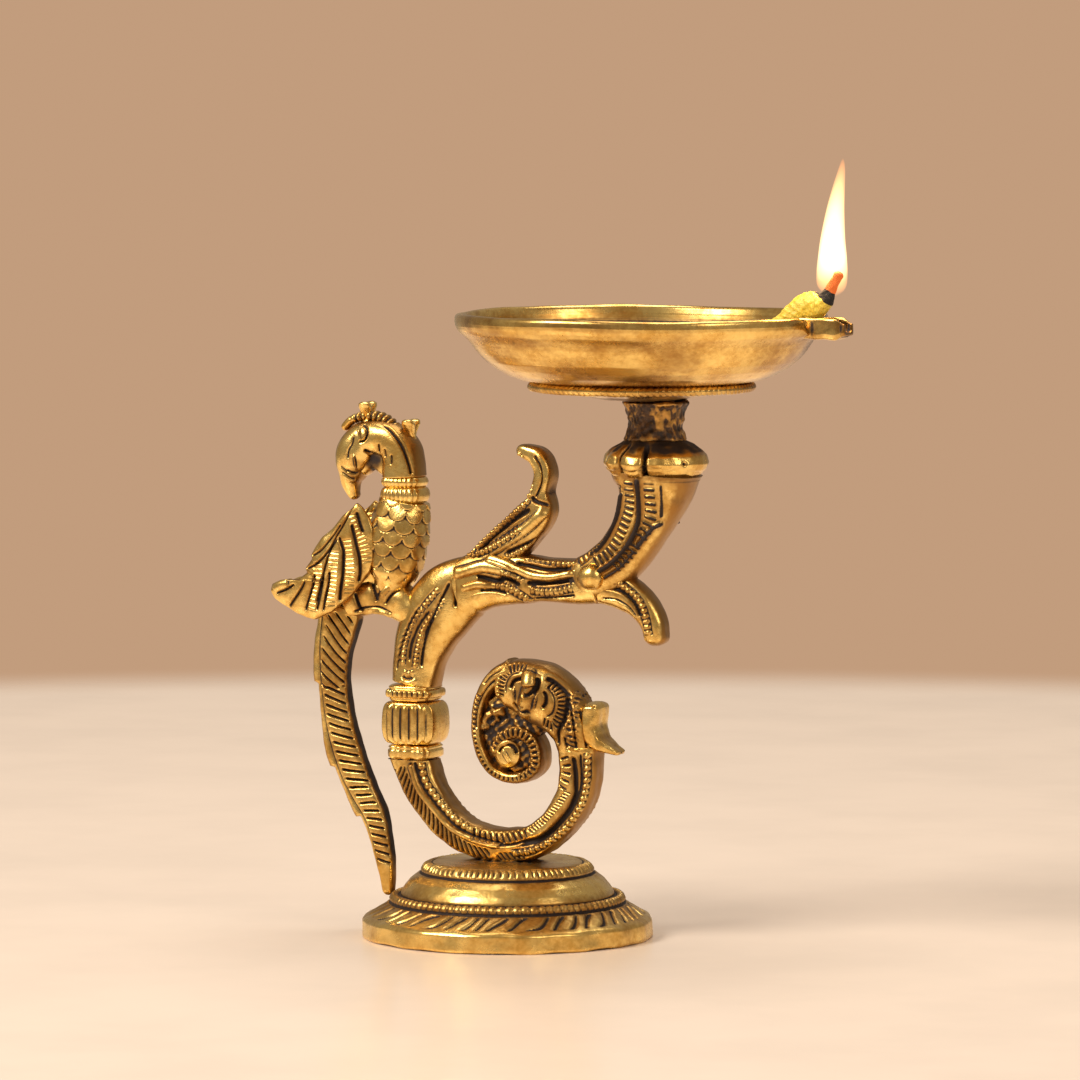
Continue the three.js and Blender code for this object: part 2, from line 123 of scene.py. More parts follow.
def resample(points: Points, step: float) -> tuple[Array, Array]:
    """Runs a smooth curve through points and walks along it in equal steps.

    Args:
        points: Rows of numbers, of which the first two are a place.
        step: The distance between places on the result.

    Returns:
        The rows along the curve, and the distance along it at each.
    """
    rows = np.array(points, float)
    rows = np.vstack([2 * rows[0] - rows[1], rows, 2 * rows[-1] - rows[-2]])
    share = np.linspace(0, 1, CURVE_STEPS, endpoint=False)[:, None]
    parts = []
    for a, b, c, d in zip(rows, rows[1:], rows[2:], rows[3:]):
        parts.append(
            b + 0.5 * share * (c - a) + share**2 * (a - 2.5 * b + 2 * c - 0.5 * d)
            + share**3 * (1.5 * b - 0.5 * a + 0.5 * d - 1.5 * c)
        )
    dense = np.vstack([*parts, rows[-2:-1]])
    walked = lengths(dense[:, :2])
    count = max(4, math.ceil(walked[-1] / step) + 1)
    along = np.linspace(0, walked[-1], count)
    return np.column_stack(columns(dense, walked, along)), along


# ---------------------------------------------------------------- surfaces


@dataclass
class Skin:
    """A grid of places on a surface, in millimetres, for the carving that goes on it.

    The rings run along the piece. Each ring goes once round it and meets itself. A channel's ring goes out
    round its outside and comes back along its inside.
    """

    points: Array
    along: Array
    across: Array
    turn: Array
    spine: Array | None = None
    looped: bool = False
    channel: bool = False
    paint: Measure = 0.0
    wash_and_side_shade: Measure = 0.0

    def normals(self) -> Array:
        """Returns the outward direction at each place."""
        around = np.roll(self.points, -1, 1) - np.roll(self.points, 1, 1)
        if self.looped:
            onward = np.roll(self.points, -1, 0) - np.roll(self.points, 1, 0)
        else:
            onward = np.gradient(self.points, axis=0)
        facing = np.cross(onward, around)
        facing /= np.maximum(np.linalg.norm(facing, axis=2, keepdims=True), 1e-9)
        return facing if self.volume() > 0 else -facing

    @property
    def x(self) -> Array:
        """Returns each place's x."""
        return self.points[..., 0]

    @property
    def z(self) -> Array:
        """Returns each place's height."""
        return self.points[..., 2]

    def volume(self) -> float:
        """Returns a number whose sign says which way round the grid is wound."""
        a, b, c = self.points[:-1], self.points[1:], np.roll(self.points, -1, 1)[:-1]
        return float(np.sum(a * np.cross(b, c)) + np.sum(b * np.cross(np.roll(b, -1, 1), c)))

    def facing(self) -> Array:
        """Returns how squarely each place looks towards the near or the far side, from 0 to 1."""
        return np.abs(self.normals()[..., 1])

    def raised(self, height: Array, darkness: float = 0.0) -> "Skin":
        """Moves the surface outwards.

        Args:
            height: How far each place moves, in millimetres.
            darkness: How dark the places that move inwards become.

        Returns:
            The same skin, for the next call.
        """
        self.points = self.points + self.normals() * height[..., None]
        return self.stained_and_shaded(darkness * smooth(0.15, 0.9, -height))

    def rippled(self, height: float, size: float) -> "Skin":
        """Makes the surface uneven, height and size in millimetres, and returns the same skin."""
        return self.raised(height * ripple(self.points, size))

    def stained_and_shaded(self, amount: Array) -> "Skin":
        """Darkens places, for patina and stains and for painted shade alike, or cleans them where amount is
        below 0, and returns the same skin.
        """
        self.paint = np.clip(self.paint + amount, -1, PATINA_AND_SHADE_MAX)
        return self

    def carved(self, *marks: "Mark") -> "Skin":
        """Cuts and builds up marks on the near and far faces, and paints shade on the sides that turn away
        from them.

        Args:
            marks: The marks, which are laid on together.

        Returns:
            The same skin, for the next call.
        """
        weight = smooth(0.4, 0.75, self.facing())
        x, z = self.x, self.z
        total = np.zeros(x.shape)
        for mark in marks:
            near = mark.covers(x, z) & (weight > 0)
            total[near] += mark.height(x[near], z[near])
        # painted shade: the sides that turn away from the near and far faces are darkened
        self.wash_and_side_shade = 0.5 - 0.5 * smooth(0.3, 0.8, self.facing())
        return self.raised(total * weight, 1.0)

    def line(self, start: float, stop: float, aside: float, aside_end: float | None = None) -> Points:
        """Draws a line that follows the piece.

        Args:
            start: Where it begins, as a share of the piece's length.
            stop: Where it ends, as a share of the piece's length.
            aside: How far it is from the middle, where 1 is the edge.
            aside_end: The same at its end, if that differs.

        Returns:
            Its places in the figure's plane.
        """
        last = len(self.spine) - 1
        shares = np.linspace(start, stop, max(4, int(abs(stop - start) * self.along.max() / 2.5)))
        asides = np.linspace(aside, aside if aside_end is None else aside_end, len(shares))
        rows = self.spine[np.rint(shares * last).astype(int)]
        return [(r[0] + r[2] * a * r[4], r[1] + r[3] * a * r[4]) for r, a in zip(rows, asides)]


def skin_of(
    points: Array, along: Measure = 0.0, across: Measure = 0.0, turn: Measure = 0.0, **more: Array | bool
) -> Skin:
    """Returns a skin whose measures are spread over all its places."""
    return Skin(points, *(np.broadcast_to(part, points.shape[:2]) for part in (along, across, turn)), **more)


def section(power: float, width: float, depth: float, step: float) -> tuple[Array, Array, Array]:
    """Walks in equal steps round an outline between an ellipse and a rectangle.

    Args:
        power: How square it is, from 2, an ellipse, upwards.
        width: Half its size one way.
        depth: Half its size the other way.
        step: The distance between places.

    Returns:
        The places as shares of the two half sizes, and how far round each is.
    """
    turn = np.linspace(0, 2 * math.pi, OUTLINE_STEPS + 1)
    cosine, sine = (np.sign(v) * np.abs(v) ** (2 / power) for v in (np.cos(turn), np.sin(turn)))
    walked = np.concatenate([[0], np.cumsum(np.hypot(np.diff(cosine) * width, np.diff(sine) * depth))])
    count = 4 * math.ceil(walked[-1] / step / 4)
    share = np.arange(count) / count
    places = share * walked[-1]
    return np.interp(places, walked, cosine), np.interp(places, walked, sine), share


def bar(stations: Points, power: float = 3.0, step: float = 0.24, tips: tuple[float, float] = (0, 0)) -> Skin:
    """Makes a cast bar bent along a flat curve.

    Args:
        stations: Rows of x, z, width in the plane and thickness across it.
        power: How square the section is, from 2, round, upwards.
        step: The distance between places on the surface.
        tips: How long a rounding each end has, or 0 for an end cut square.

    Returns:
        The bar's skin.
    """
    rows, along = resample(stations, step)
    shrink = np.ones(len(rows))
    for reach, distance in zip(tips, (along, along[-1] - along)):
        if reach:
            shrink *= dome(1 - np.clip(distance / reach, TIP_MIN, 1))
    widths, depths = rows[:, 2] * shrink / 2, rows[:, 3] * shrink / 2
    tangent = np.gradient(rows[:, :2], axis=0)
    tangent /= np.linalg.norm(tangent, axis=1, keepdims=True)
    aside = np.column_stack([-tangent[:, 1], tangent[:, 0]])
    finer = (widths + depths).mean() / max(widths + depths)
    cosine, sine, share = section(power, widths.mean(), depths.mean(), step * finer)
    reach = widths[:, None] * cosine
    flat = rows[:, None, :2] + aside[:, None] * reach[..., None]
    points = np.stack([flat[..., 0], depths[:, None] * sine, flat[..., 1]], axis=2)
    spine = np.column_stack([rows[:, :2], aside, rows[:, 2] / 2])
    return skin_of(points, along[:, None], cosine, share * 2 * math.pi, spine=spine)


def plate(
    outline: Points,
    centre: tuple[float, float],
    half: float,
    power: float = 3.0,
    step: float = 0.25,
    soften: int = 4,
) -> Skin:
    """Makes a cushion-shaped casting that fills an outline.

    Args:
        outline: Its corners in the figure's plane, in order.
        centre: A place in it from which every corner can be seen.
        half: Half its thickness.
        power: How square its edge is, from 2, round, upwards.
        step: The distance between places on the surface.
        soften: How far its corners are rounded.

    Returns:
        The casting's skin.
    """
    rows = np.array([*outline, outline[0]], float)
    walked = lengths(rows)
    even = np.arange(math.ceil(walked[-1] / step)) * step
    rim = np.column_stack(columns(rows, walked, even))
    for _ in range(soften):
        rim = (np.roll(rim, 1, 0) + 2 * rim + np.roll(rim, -1, 0)) / 4
    reach = np.hypot(*(rim - centre).T)
    level, share, _ = section(power, half, reach.mean(), step * reach.mean() / reach.max())
    rings = len(level) // 2
    level, share = -level[: rings + 1, None], np.maximum(share[: rings + 1, None], TIP_MIN)
    points = np.stack(
        [
            centre[0] + (rim[:, 0] - centre[0]) * share,
            half * level + 0 * rim[:, 0],
            centre[1] + (rim[:, 1] - centre[1]) * share,
        ],
        axis=2,
    )
    return skin_of(points, across=share)


def turned(profile: Points, centre: float, step: float = 0.3, looped: bool = False, lobes: int = 0) -> Skin:
    """Makes a piece as on a lathe, about an upright line.

    Args:
        profile: Radius and height in order up the outside, as a smooth line with corners where rows repeat.
        centre: The line's x.
        step: The distance between places on the surface.
        looped: Whether the profile closes on itself, for a piece with a hole.
        lobes: How many equal parts the ring is cut in, so that marks repeat evenly.

    Returns:
        The piece's skin, whose across is the radius.
    """
    rows = np.array(profile, float)
    walked = lengths(rows)
    kept = np.concatenate([[True], np.diff(walked) > 0])
    rows, walked = rows[kept], walked[kept]
    along = np.linspace(0, walked[-1], math.ceil(walked[-1] / step) + 1)
    along = np.unique(np.concatenate([along, walked]).round(4))
    along = along[np.concatenate([[True], np.diff(along) > 0.02])]
    if looped:
        along = along[:-1]
    radius, height = columns(rows, walked, along)
    for _ in range(2):
        radius[1:-1] = (radius[:-2] + 2 * radius[1:-1] + radius[2:]) / 4
        height[1:-1] = (height[:-2] + 2 * height[1:-1] + height[2:]) / 4
    count = math.ceil(2 * math.pi * radius.max() / step)
    if lobes:
        count = lobes * math.ceil(count / lobes)
    turn = np.arange(count) / count * 2 * math.pi
    radius = np.maximum(radius, 0.02)[:, None]
    points = np.stack(
        [centre + radius * np.cos(turn), radius * np.sin(turn), height[:, None] + 0 * turn], axis=2
    )
    return skin_of(points, along[:, None], radius, turn, looped=looped)


# ---------------------------------------------------------------- chisel marks


class Stroke(Enum):
    """What a mark leaves in the metal."""

    GROOVE = "a cut line"
    RIDGE = "a raised line"
    BEADS = "a row of beads"
    RUNGS = "short cuts across a band"


@dataclass(frozen=True)
class Mark:
    """A line on the figure's face that a chisel or a wax thread follows."""

    stroke: Stroke
    points: Points
    width: float
    depth: float
    pitch: float = 1.5
    slant: float = 0.0
    bow: float = 0.0
    taper: float = 0.9

    def covers(self, x: Array, z: Array) -> Array:
        """Returns which places are close enough to be changed."""
        line = np.array(self.points)
        low, high = line.min(0) - 2 * self.width - 1, line.max(0) + 2 * self.width + 1
        return (x > low[0]) & (x < high[0]) & (z > low[1]) & (z < high[1])

    def height(self, x: Array, z: Array) -> Array:
        """Works out the relief.

        Args:
            x: Places in the figure's plane.
            z: Their heights.

        Returns:
            How far the surface moves outwards at each place.
        """
        line, walked = resample(self.points, MARK_STEP)
        best = np.full(x.shape, 1e9)
        aside = np.zeros(x.shape)
        arc = np.zeros(x.shape)
        for a, b, start in zip(line, line[1:], walked):
            run = b - a
            length = max(float(np.hypot(*run)), 1e-9)
            share = np.clip(((x - a[0]) * run[0] + (z - a[1]) * run[1]) / length**2, 0, 1)
            dx, dz = x - a[0] - share * run[0], z - a[1] - share * run[1]
            distance = np.hypot(dx, dz)
            closer = distance < best
            best = np.where(closer, distance, best)
            aside = np.where(closer, np.sign(dz * run[0] - dx * run[1]) * distance, aside)
            arc = np.where(closer, start + share * length, arc)
        ends = smooth(0, self.taper, arc) * smooth(0, self.taper, walked[-1] - arc)
        share = best / self.width
        if self.stroke is Stroke.GROOVE:
            return -self.depth * np.exp(-2.2 * share**2) * ends
        if self.stroke is Stroke.RIDGE:
            return self.depth * dome(share) * np.sqrt(ends)
        swept = (arc + self.slant * aside + self.bow * aside**2) / self.pitch
        if self.stroke is Stroke.BEADS:
            bead = dome(np.hypot(share, saw(swept) * 0.94))
            bed = smooth(1.35, 1.05, share) * 0.35
            return self.depth * (bead - bed) * ends
        cut = np.exp(-((saw(swept) * self.pitch / 0.55) ** 2))
        return -self.depth * cut * smooth(1.0, 0.72, share) * ends


def groove(points: Points, width: float = 0.42, depth: float = 0.7, taper: float = 0.9) -> Mark:
    """Returns a cut line."""
    return Mark(Stroke.GROOVE, points, width, depth, taper=taper)


def ridge(points: Points, width: float = 0.6, depth: float = 0.45, taper: float = 0.9) -> Mark:
    """Returns a raised line."""
    return Mark(Stroke.RIDGE, points, width, depth, taper=taper)


def beads(
    points: Points, width: float = 0.75, depth: float = 0.5, pitch: float = 1.35, slant: float = 0
) -> Mark:
    """Returns a row of beads."""
    return Mark(Stroke.BEADS, points, width, depth, pitch, slant, taper=0.2)


def rungs(
    points: Points, width: float, depth: float = 0.45, pitch: float = 1.3, slant: float = 0, bow: float = 0
) -> Mark:
    """Returns a band of short cuts."""
    return Mark(Stroke.RUNGS, points, width, depth, pitch, slant, bow, 0.3)


# ---------------------------------------------------------------- materials


@dataclass
class Value:
    """A node's output, on which Python's operators add Math nodes."""

    nodes: "Graph"
    socket: bpy.types.NodeSocket

    def _math(self, operation: str, first: "Value | float", second: "Value | float") -> "Value":
        """Returns one Math node's result."""
        return self.nodes.add("ShaderNodeMath", {"operation": operation}, {0: first, 1: second})

    def __add__(self, other: "Value | float") -> "Value":
        """Returns self + other."""
        return self._math("ADD", self, other)

    __radd__ = __add__

    def __sub__(self, other: "Value | float") -> "Value":
        """Returns self - other."""
        return self._math("SUBTRACT", self, other)

    def __rsub__(self, other: float) -> "Value":
        """Returns other - self."""
        return self._math("SUBTRACT", other, self)

    def __mul__(self, other: "Value | float") -> "Value":
        """Returns self * other."""
        return self._math("MULTIPLY", self, other)

    __rmul__ = __mul__

    def step(self, low: float, high: float) -> "Value":
        """Returns 0 below low and 1 above high, with a smooth step between."""
        return self.nodes.add(
            "ShaderNodeMapRange",
            {"interpolation_type": "SMOOTHSTEP"},
            {"Value": self, "From Min": low, "From Max": high},
        )


class Graph:
    """The nodes of one material."""

    def __init__(self, name: str) -> None:
        """Starts a material with its shader and output."""
        self.material = bpy.data.materials.new(name)
        self.material.use_nodes = True
        self.tree = self.material.node_tree
        self.shader = self.tree.nodes["Principled BSDF"]
        self.output = self.tree.nodes["Material Output"]

    def add(
        self, kind: str, settings: dict | None = None, sockets: dict | None = None, output: int | str = 0
    ) -> Value:
        """Adds a node.

        Args:
            kind: The node's type.
            settings: Its properties, which are set first; stops are a colour ramp's.
            sockets: Values or links for its inputs, by name or number.
            output: Which of its outputs to return.

        Returns:
            That output.
        """
        node = self.tree.nodes.new(kind)
        for key, value in (settings or {}).items():
            if key == "stops":
                self._set_stops(node.color_ramp, value)
            else:
                setattr(node, key, value)
        for key, value in (sockets or {}).items():
            if isinstance(value, Value):
                self.tree.links.new(value.socket, node.inputs[key])
            else:
                node.inputs[key].default_value = value
        return Value(self, node.outputs[output])

    @staticmethod
    def _set_stops(ramp: bpy.types.ColorRamp, stops: Sequence[tuple[float, tuple]]) -> None:
        """Gives a colour ramp its stops."""
        while len(ramp.elements) < len(stops):
            ramp.elements.new(0.5)
        for element, (place, colour) in zip(ramp.elements, stops):
            element.position = place
            element.color = (*colour, 1)

    def place(self) -> Value:
        """Returns the place on the piece, in metres."""
        return self.add("ShaderNodeTexCoord", output="Object")

    def noise(
        self, size: float, detail: float = 3, rough: float = 0.55, stretch: tuple | None = None
    ) -> Value:
        """Adds a cloudy pattern.

        Args:
            size: The size of its clouds, in millimetres.
            detail: How many finer layers it has.
            rough: How strong the finer layers are.
            stretch: How much closer together it is along x, y and z.

        Returns:
            A value from 0 to 1.
        """
        where = self.place()
        if stretch:
            where = self.add("ShaderNodeMapping", sockets={"Vector": where, "Scale": stretch})
        return self.add(
            "ShaderNodeTexNoise",
            sockets={"Vector": where, "Scale": 1 / (size * MM), "Detail": detail, "Roughness": rough},
        )

    def mix(self, share: Value | float, first: Value | tuple, second: Value | tuple) -> Value:
        """Returns first and second mixed, as colours."""
        colours = [c if isinstance(c, Value) else (*c, 1) for c in (first, second)]
        sockets = dict(zip(MIX_INPUTS, (share, *colours)))
        return self.add("ShaderNodeMix", {"data_type": "RGBA"}, sockets, MIX_RESULT)

    def attribute(self, name: str) -> Value:
        """Returns a number that is stored on the mesh."""
        return self.add("ShaderNodeAttribute", {"attribute_name": name}, output="Fac")

    def bump(self, height: Value, depth: float, strength: float = 1.0) -> Value:
        """Returns the surface's direction with a fine relief on it, depth millimetres deep."""
        sockets = {"Height": height, "Distance": depth * MM, "Strength": strength}
        return self.add("ShaderNodeBump", sockets=sockets)

    def feed(self, **sockets: "Value | float | tuple") -> None:
        """Sets or links the shader's own sockets, named with underscores for spaces."""
        for name, value in sockets.items():
            socket = self.shader.inputs[name.replace("_", " ")]
            if isinstance(value, Value):
                self.tree.links.new(value.socket, socket)
            else:
                socket.default_value = value


@dataclass(frozen=True)
class Brass:
    """Brass with dark patina in its cuts, painted shade on its sides and in some recesses, and a hand polish
    on its high places.
    """

    name: str
    bright: tuple = (0.87, 0.62, 0.205)
    warm: tuple = (0.64, 0.37, 0.08)
    brown: tuple = (0.26, 0.118, 0.027)
    patina: tuple = (0.024, 0.013, 0.009)
    polish: float = 0.17
    haze: float = 0.16
    patina_and_shade_gain: float = 1.0
    grain: float = 0.05
    smear: float = 0.0

    def make(self) -> bpy.types.Material:
        """Returns the material."""
        graph = Graph(self.name)
        cloud = graph.noise(9, 4, 0.6)
        fine = graph.noise(1.1, 3, 0.6)
        # dark mask: patina in the hollows, plus the stains, soot and painted shade that each piece adds
        darkness = (graph.attribute("patina_and_shade") * (0.75 + 0.5 * fine)).step(0.14, 0.8 / self.patina_and_shade_gain)
        # brown wash: patina spread round the cuts, and painted shade on the sides
        brown_wash_and_shade = (graph.attribute("wash_and_side_shade") + 0.4 * cloud + 0.35 * fine - 0.24).step(0.08, 0.6)
        metal = graph.mix((cloud + 0.35 * fine - 0.2).step(0.25, 0.75), self.bright, self.warm)
        metal = graph.mix(brown_wash_and_shade * 0.85, metal, self.brown)
        if self.smear:
            streaks = graph.noise(34, 5, 0.66, (1, 1, 1.9)).step(0.4, 0.64)
            spots = graph.noise(3.4, 3, 0.6).step(0.64, 0.74)
            metal = graph.mix(streaks * self.smear, metal, self.brown)
            metal = graph.mix(spots * streaks * 0.8, metal, self.patina)
        graph.feed(
            Base_Color=graph.mix(darkness, metal, self.patina),
            Metallic=1 - 0.6 * darkness,
            Roughness=self.polish + self.haze * cloud + 0.12 * brown_wash_and_shade + 0.3 * darkness,
            Normal=graph.bump(fine + 0.5 * graph.noise(0.35, 2, 0.5), self.grain),
        )
        return graph.material


@dataclass(frozen=True)
class SootyBrass:
    """Brass that oil and soot have turned rough and dark."""

    name: str

    def make(self) -> bpy.types.Material:
        """Returns the material."""
        graph = Graph(self.name)
        crust = graph.noise(2.2, 5, 0.68)
        rub = (graph.noise(5, 3) + 0.4 * crust - graph.attribute("patina_and_shade") * 0.6).step(0.62, 0.86)
        dark = graph.mix(crust.step(0.35, 0.7), (0.02, 0.013, 0.011), (0.15, 0.07, 0.022))
        graph.feed(
            Base_Color=graph.mix(rub, dark, (0.5, 0.27, 0.07)),
            Metallic=0.35 + 0.6 * rub,
            Roughness=0.46 - 0.18 * rub,
            Normal=graph.bump(crust, 0.35),
        )
        return graph.material


@dataclass(frozen=True)
class Steel:
    """Zinc-plated steel, turned and a little dull."""

    name: str

    def make(self) -> bpy.types.Material:
        """Returns the material."""
        graph = Graph(self.name)
        cloud = graph.noise(4, 4)
        graph.feed(
            Base_Color=graph.mix(cloud.step(0.3, 0.7), (0.55, 0.55, 0.52), (0.34, 0.33, 0.3)),
            Metallic=1.0,
            Roughness=0.3 + 0.25 * cloud,
            Normal=graph.bump(graph.noise(0.5, 2), 0.02),
        )
        return graph.material


@dataclass(frozen=True)
class OiledCotton:
    """A twisted cotton wick: oily yellow, charred towards its lit end, and glowing at the tip."""

    name: str

    def make(self) -> bpy.types.Material:
        """Returns the material."""
        graph = Graph(self.name)
        burnt = graph.attribute("burnt")
        strand = graph.noise(0.6, 3, 0.6)
        oily = graph.mix(strand.step(0.3, 0.75), (0.62, 0.42, 0.03), (0.86, 0.67, 0.09))
        char = (burnt + 0.3 * strand).step(0.45, 0.75)
        ember = (burnt + 0.12 * strand).step(1.55, 1.75)
        graph.feed(
            Base_Color=graph.mix(ember, graph.mix(char, oily, (0.012, 0.009, 0.008)), (0.3, 0.075, 0.012)),
            Roughness=0.42 + 0.4 * char,
            Emission_Color=graph.mix(ember, (0.0, 0.0, 0.0), (1.0, 0.16, 0.02)),
            Emission_Strength=0.5,
            Normal=graph.bump(strand, 0.2),
        )
        return graph.material


# ---------------------------------------------------------------- the workshop


class Slot(Enum):
    """The record's material slots."""

    CAST = "cast_brass"
    FOOT = "foot_brass"
    DISH = "dish_brass"
    DARK = "dark_brass"
    STEEL = "steel"
    WICK = "wick_cotton"


class Workshop:
    """Makes every piece, dresses it, and puts it on its body in the frame."""

    hollow_shares = {3: 2.4 * 1.55, 12: 1.5 * 1.55, 36: 0.7 * 1.55}

    def __init__(self) -> None:
        """Mixes the finishes."""
        self.finishes = {
            Slot.CAST: Brass("cast_brass").make(),
            Slot.FOOT: Brass("foot_brass", polish=0.2, patina_and_shade_gain=0.95).make(),
            Slot.DISH: Brass("dish_brass", patina_and_shade_gain=0.9, grain=0.015, smear=0.85).make(),
            Slot.DARK: SootyBrass("sooty_brass").make(),
            Slot.STEEL: Steel("zinc_steel").make(),
            Slot.WICK: OiledCotton("oiled_cotton").make(),
        }

    @staticmethod
    def _faces(skin: Skin) -> Array:
        """Returns the quads of a skin's grid."""
        rings, count = skin.points.shape[:2]
        grid = np.arange(rings * count).reshape(rings, count)
        if skin.looped:
            grid = np.vstack([grid, grid[:1]])
        beside = np.roll(grid, -1, 1)
        return np.stack([grid[:-1], grid[1:], beside[1:], beside[:-1]], axis=2).reshape(-1, 4)

    def _soil(self, mesh: bpy.types.Mesh, points: Array) -> Array:
        """Finds the hollows where patina stays.

        Args:
            mesh: The finished mesh.
            points: Its vertices in millimetres.

        Returns:
            For each vertex, 0 on high and flat places, up to 1 deep in a cut.
        """
        ends = self._neighbours(mesh)
        normal = np.zeros(len(points) * 3, np.float32)
        mesh.vertices.foreach_get("normal", normal)
        normal = normal.reshape(-1, 3)
        share = 1 / np.maximum(np.bincount(ends[:, 0], minlength=len(points)), 1)
        blurred = points.copy()
        hollow = np.zeros(len(points))
        for turn in range(1, max(self.hollow_shares) + 1):
            blurred = np.column_stack(
                [np.bincount(ends[:, 0], blurred[ends[:, 1], k], len(points)) * share for k in range(3)]
            )
            if turn in self.hollow_shares:
                hollow += self.hollow_shares[turn] * np.sum((blurred - points) * normal, axis=1)
        return np.clip(hollow, -1, PATINA_AND_SHADE_MAX)

    @staticmethod
    def _neighbours(mesh: bpy.types.Mesh) -> Array:
        """Returns the two ends of every edge, both ways round."""
        edges = np.zeros(len(mesh.edges) * 2, np.int32)
        mesh.edges.foreach_get("vertices", edges)
        return np.concatenate([edges.reshape(-1, 2), edges.reshape(-1, 2)[:, ::-1]])

    def _spread(self, mesh: bpy.types.Mesh, values: Array, rounds: int = 40) -> Array:
        """Lets the patina and painted shade on the mesh bleed into its surroundings.

        Args:
            mesh: The mesh.
            values: The patina and painted shade at each vertex.
            rounds: How many times it bleeds to the next vertex.

        Returns:
            The softened patina and painted shade.
        """
        ends = self._neighbours(mesh)
        share = 1 / np.maximum(np.bincount(ends[:, 0], minlength=len(values)), 1)
        for _ in range(rounds):
            values = np.bincount(ends[:, 0], values[ends[:, 1]], len(values)) * share
        return values

    def _mesh(self, name: str, skin: Skin) -> tuple[bpy.types.Mesh, Array]:
        """Builds the mesh of a skin, with its open ends closed.

        Args:
            name: The mesh's name.
            skin: Its surface.

        Returns:
            The mesh, and its vertices in millimetres from the foot's middle.
        """
        points = skin.points.reshape(-1, 3)
        flip = skin.volume() < 0
        faces = self._faces(skin)[:, :: -1 if flip else 1].tolist()
        rings, count = skin.x.shape
        ends = () if skin.looped else ((0, flip), (rings - 1, not flip))
        for ring, turned_over in ends:
            rim = ring * count + np.arange(count)
            if skin.channel:
                sides = [rim[:-1], rim[1:], rim[-2::-1], rim[:0:-1]]
                cap = np.stack(sides, axis=1)[: count // 2 - 1].tolist()
            else:
                cap = [[int(a), int(b), len(points)] for a, b in zip(rim, np.roll(rim, -1))]
                points = np.vstack([points, skin.points[ring].mean(0)])
            faces += [face[::-1] if turned_over else face for face in cap]
        mesh = bpy.data.meshes.new(name)
        mesh.from_pydata(((points + FOOT_MIDDLE) * MM).tolist(), [], faces)
        mesh.update()
        mesh.polygons.foreach_set("use_smooth", [True] * len(faces))
        return mesh, points

    def make(
        self, name: str, skin: Skin, slot: Slot = Slot.CAST, body: str = "stand", node: str = ""
    ) -> bpy.types.Object:
        """Makes one piece from its skin.

        Args:
            name: The piece's name.
            skin: Its surface.
            slot: The slot its finish comes from.
            body: The body it moves with.
            node: The CAD node it stands for, if that has another name.

        Returns:
            The piece.
        """
        mesh, points = self._mesh(name, skin)
        layers = np.zeros((2, len(points)))
        for layer, given in zip(layers, (skin.paint, skin.wash_and_side_shade)):
            layer[: skin.x.size] = np.broadcast_to(given, skin.x.shape).ravel()
        # patina found in the hollows, plus the patina, stains, soot and painted shade that each piece adds
        patina_and_shade = np.clip(self._soil(mesh, points) + layers[0], 0, PATINA_AND_SHADE_MAX)
        # painted shade on the sides, plus the patina and painted shade spread out round the cuts
        wash_and_side_shade = layers[1] + self._spread(mesh, patina_and_shade)
        for title, values in (("patina_and_shade", patina_and_shade), ("wash_and_side_shade", wash_and_side_shade)):
            mesh.attributes.new(title, "FLOAT", "POINT").data.foreach_set("value", values.astype(np.float32))
        mesh.materials.append(self.finishes[slot])
        piece = bpy.data.objects.new(name, mesh)
        bpy.context.scene.collection.objects.link(piece)
        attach(piece, body)
        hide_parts(node or name)
        LOG.info("%s: %d faces", name, len(mesh.polygons))
        return piece

    def keep(self, node: str, slot: Slot) -> None:
        """Gives a CAD node that is already right its finish."""
        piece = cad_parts[node]
        piece.data.materials.clear()
        piece.data.materials.append(self.finishes[slot])
        LOG.info("%s: kept", node)


# ---------------------------------------------------------------- the foot


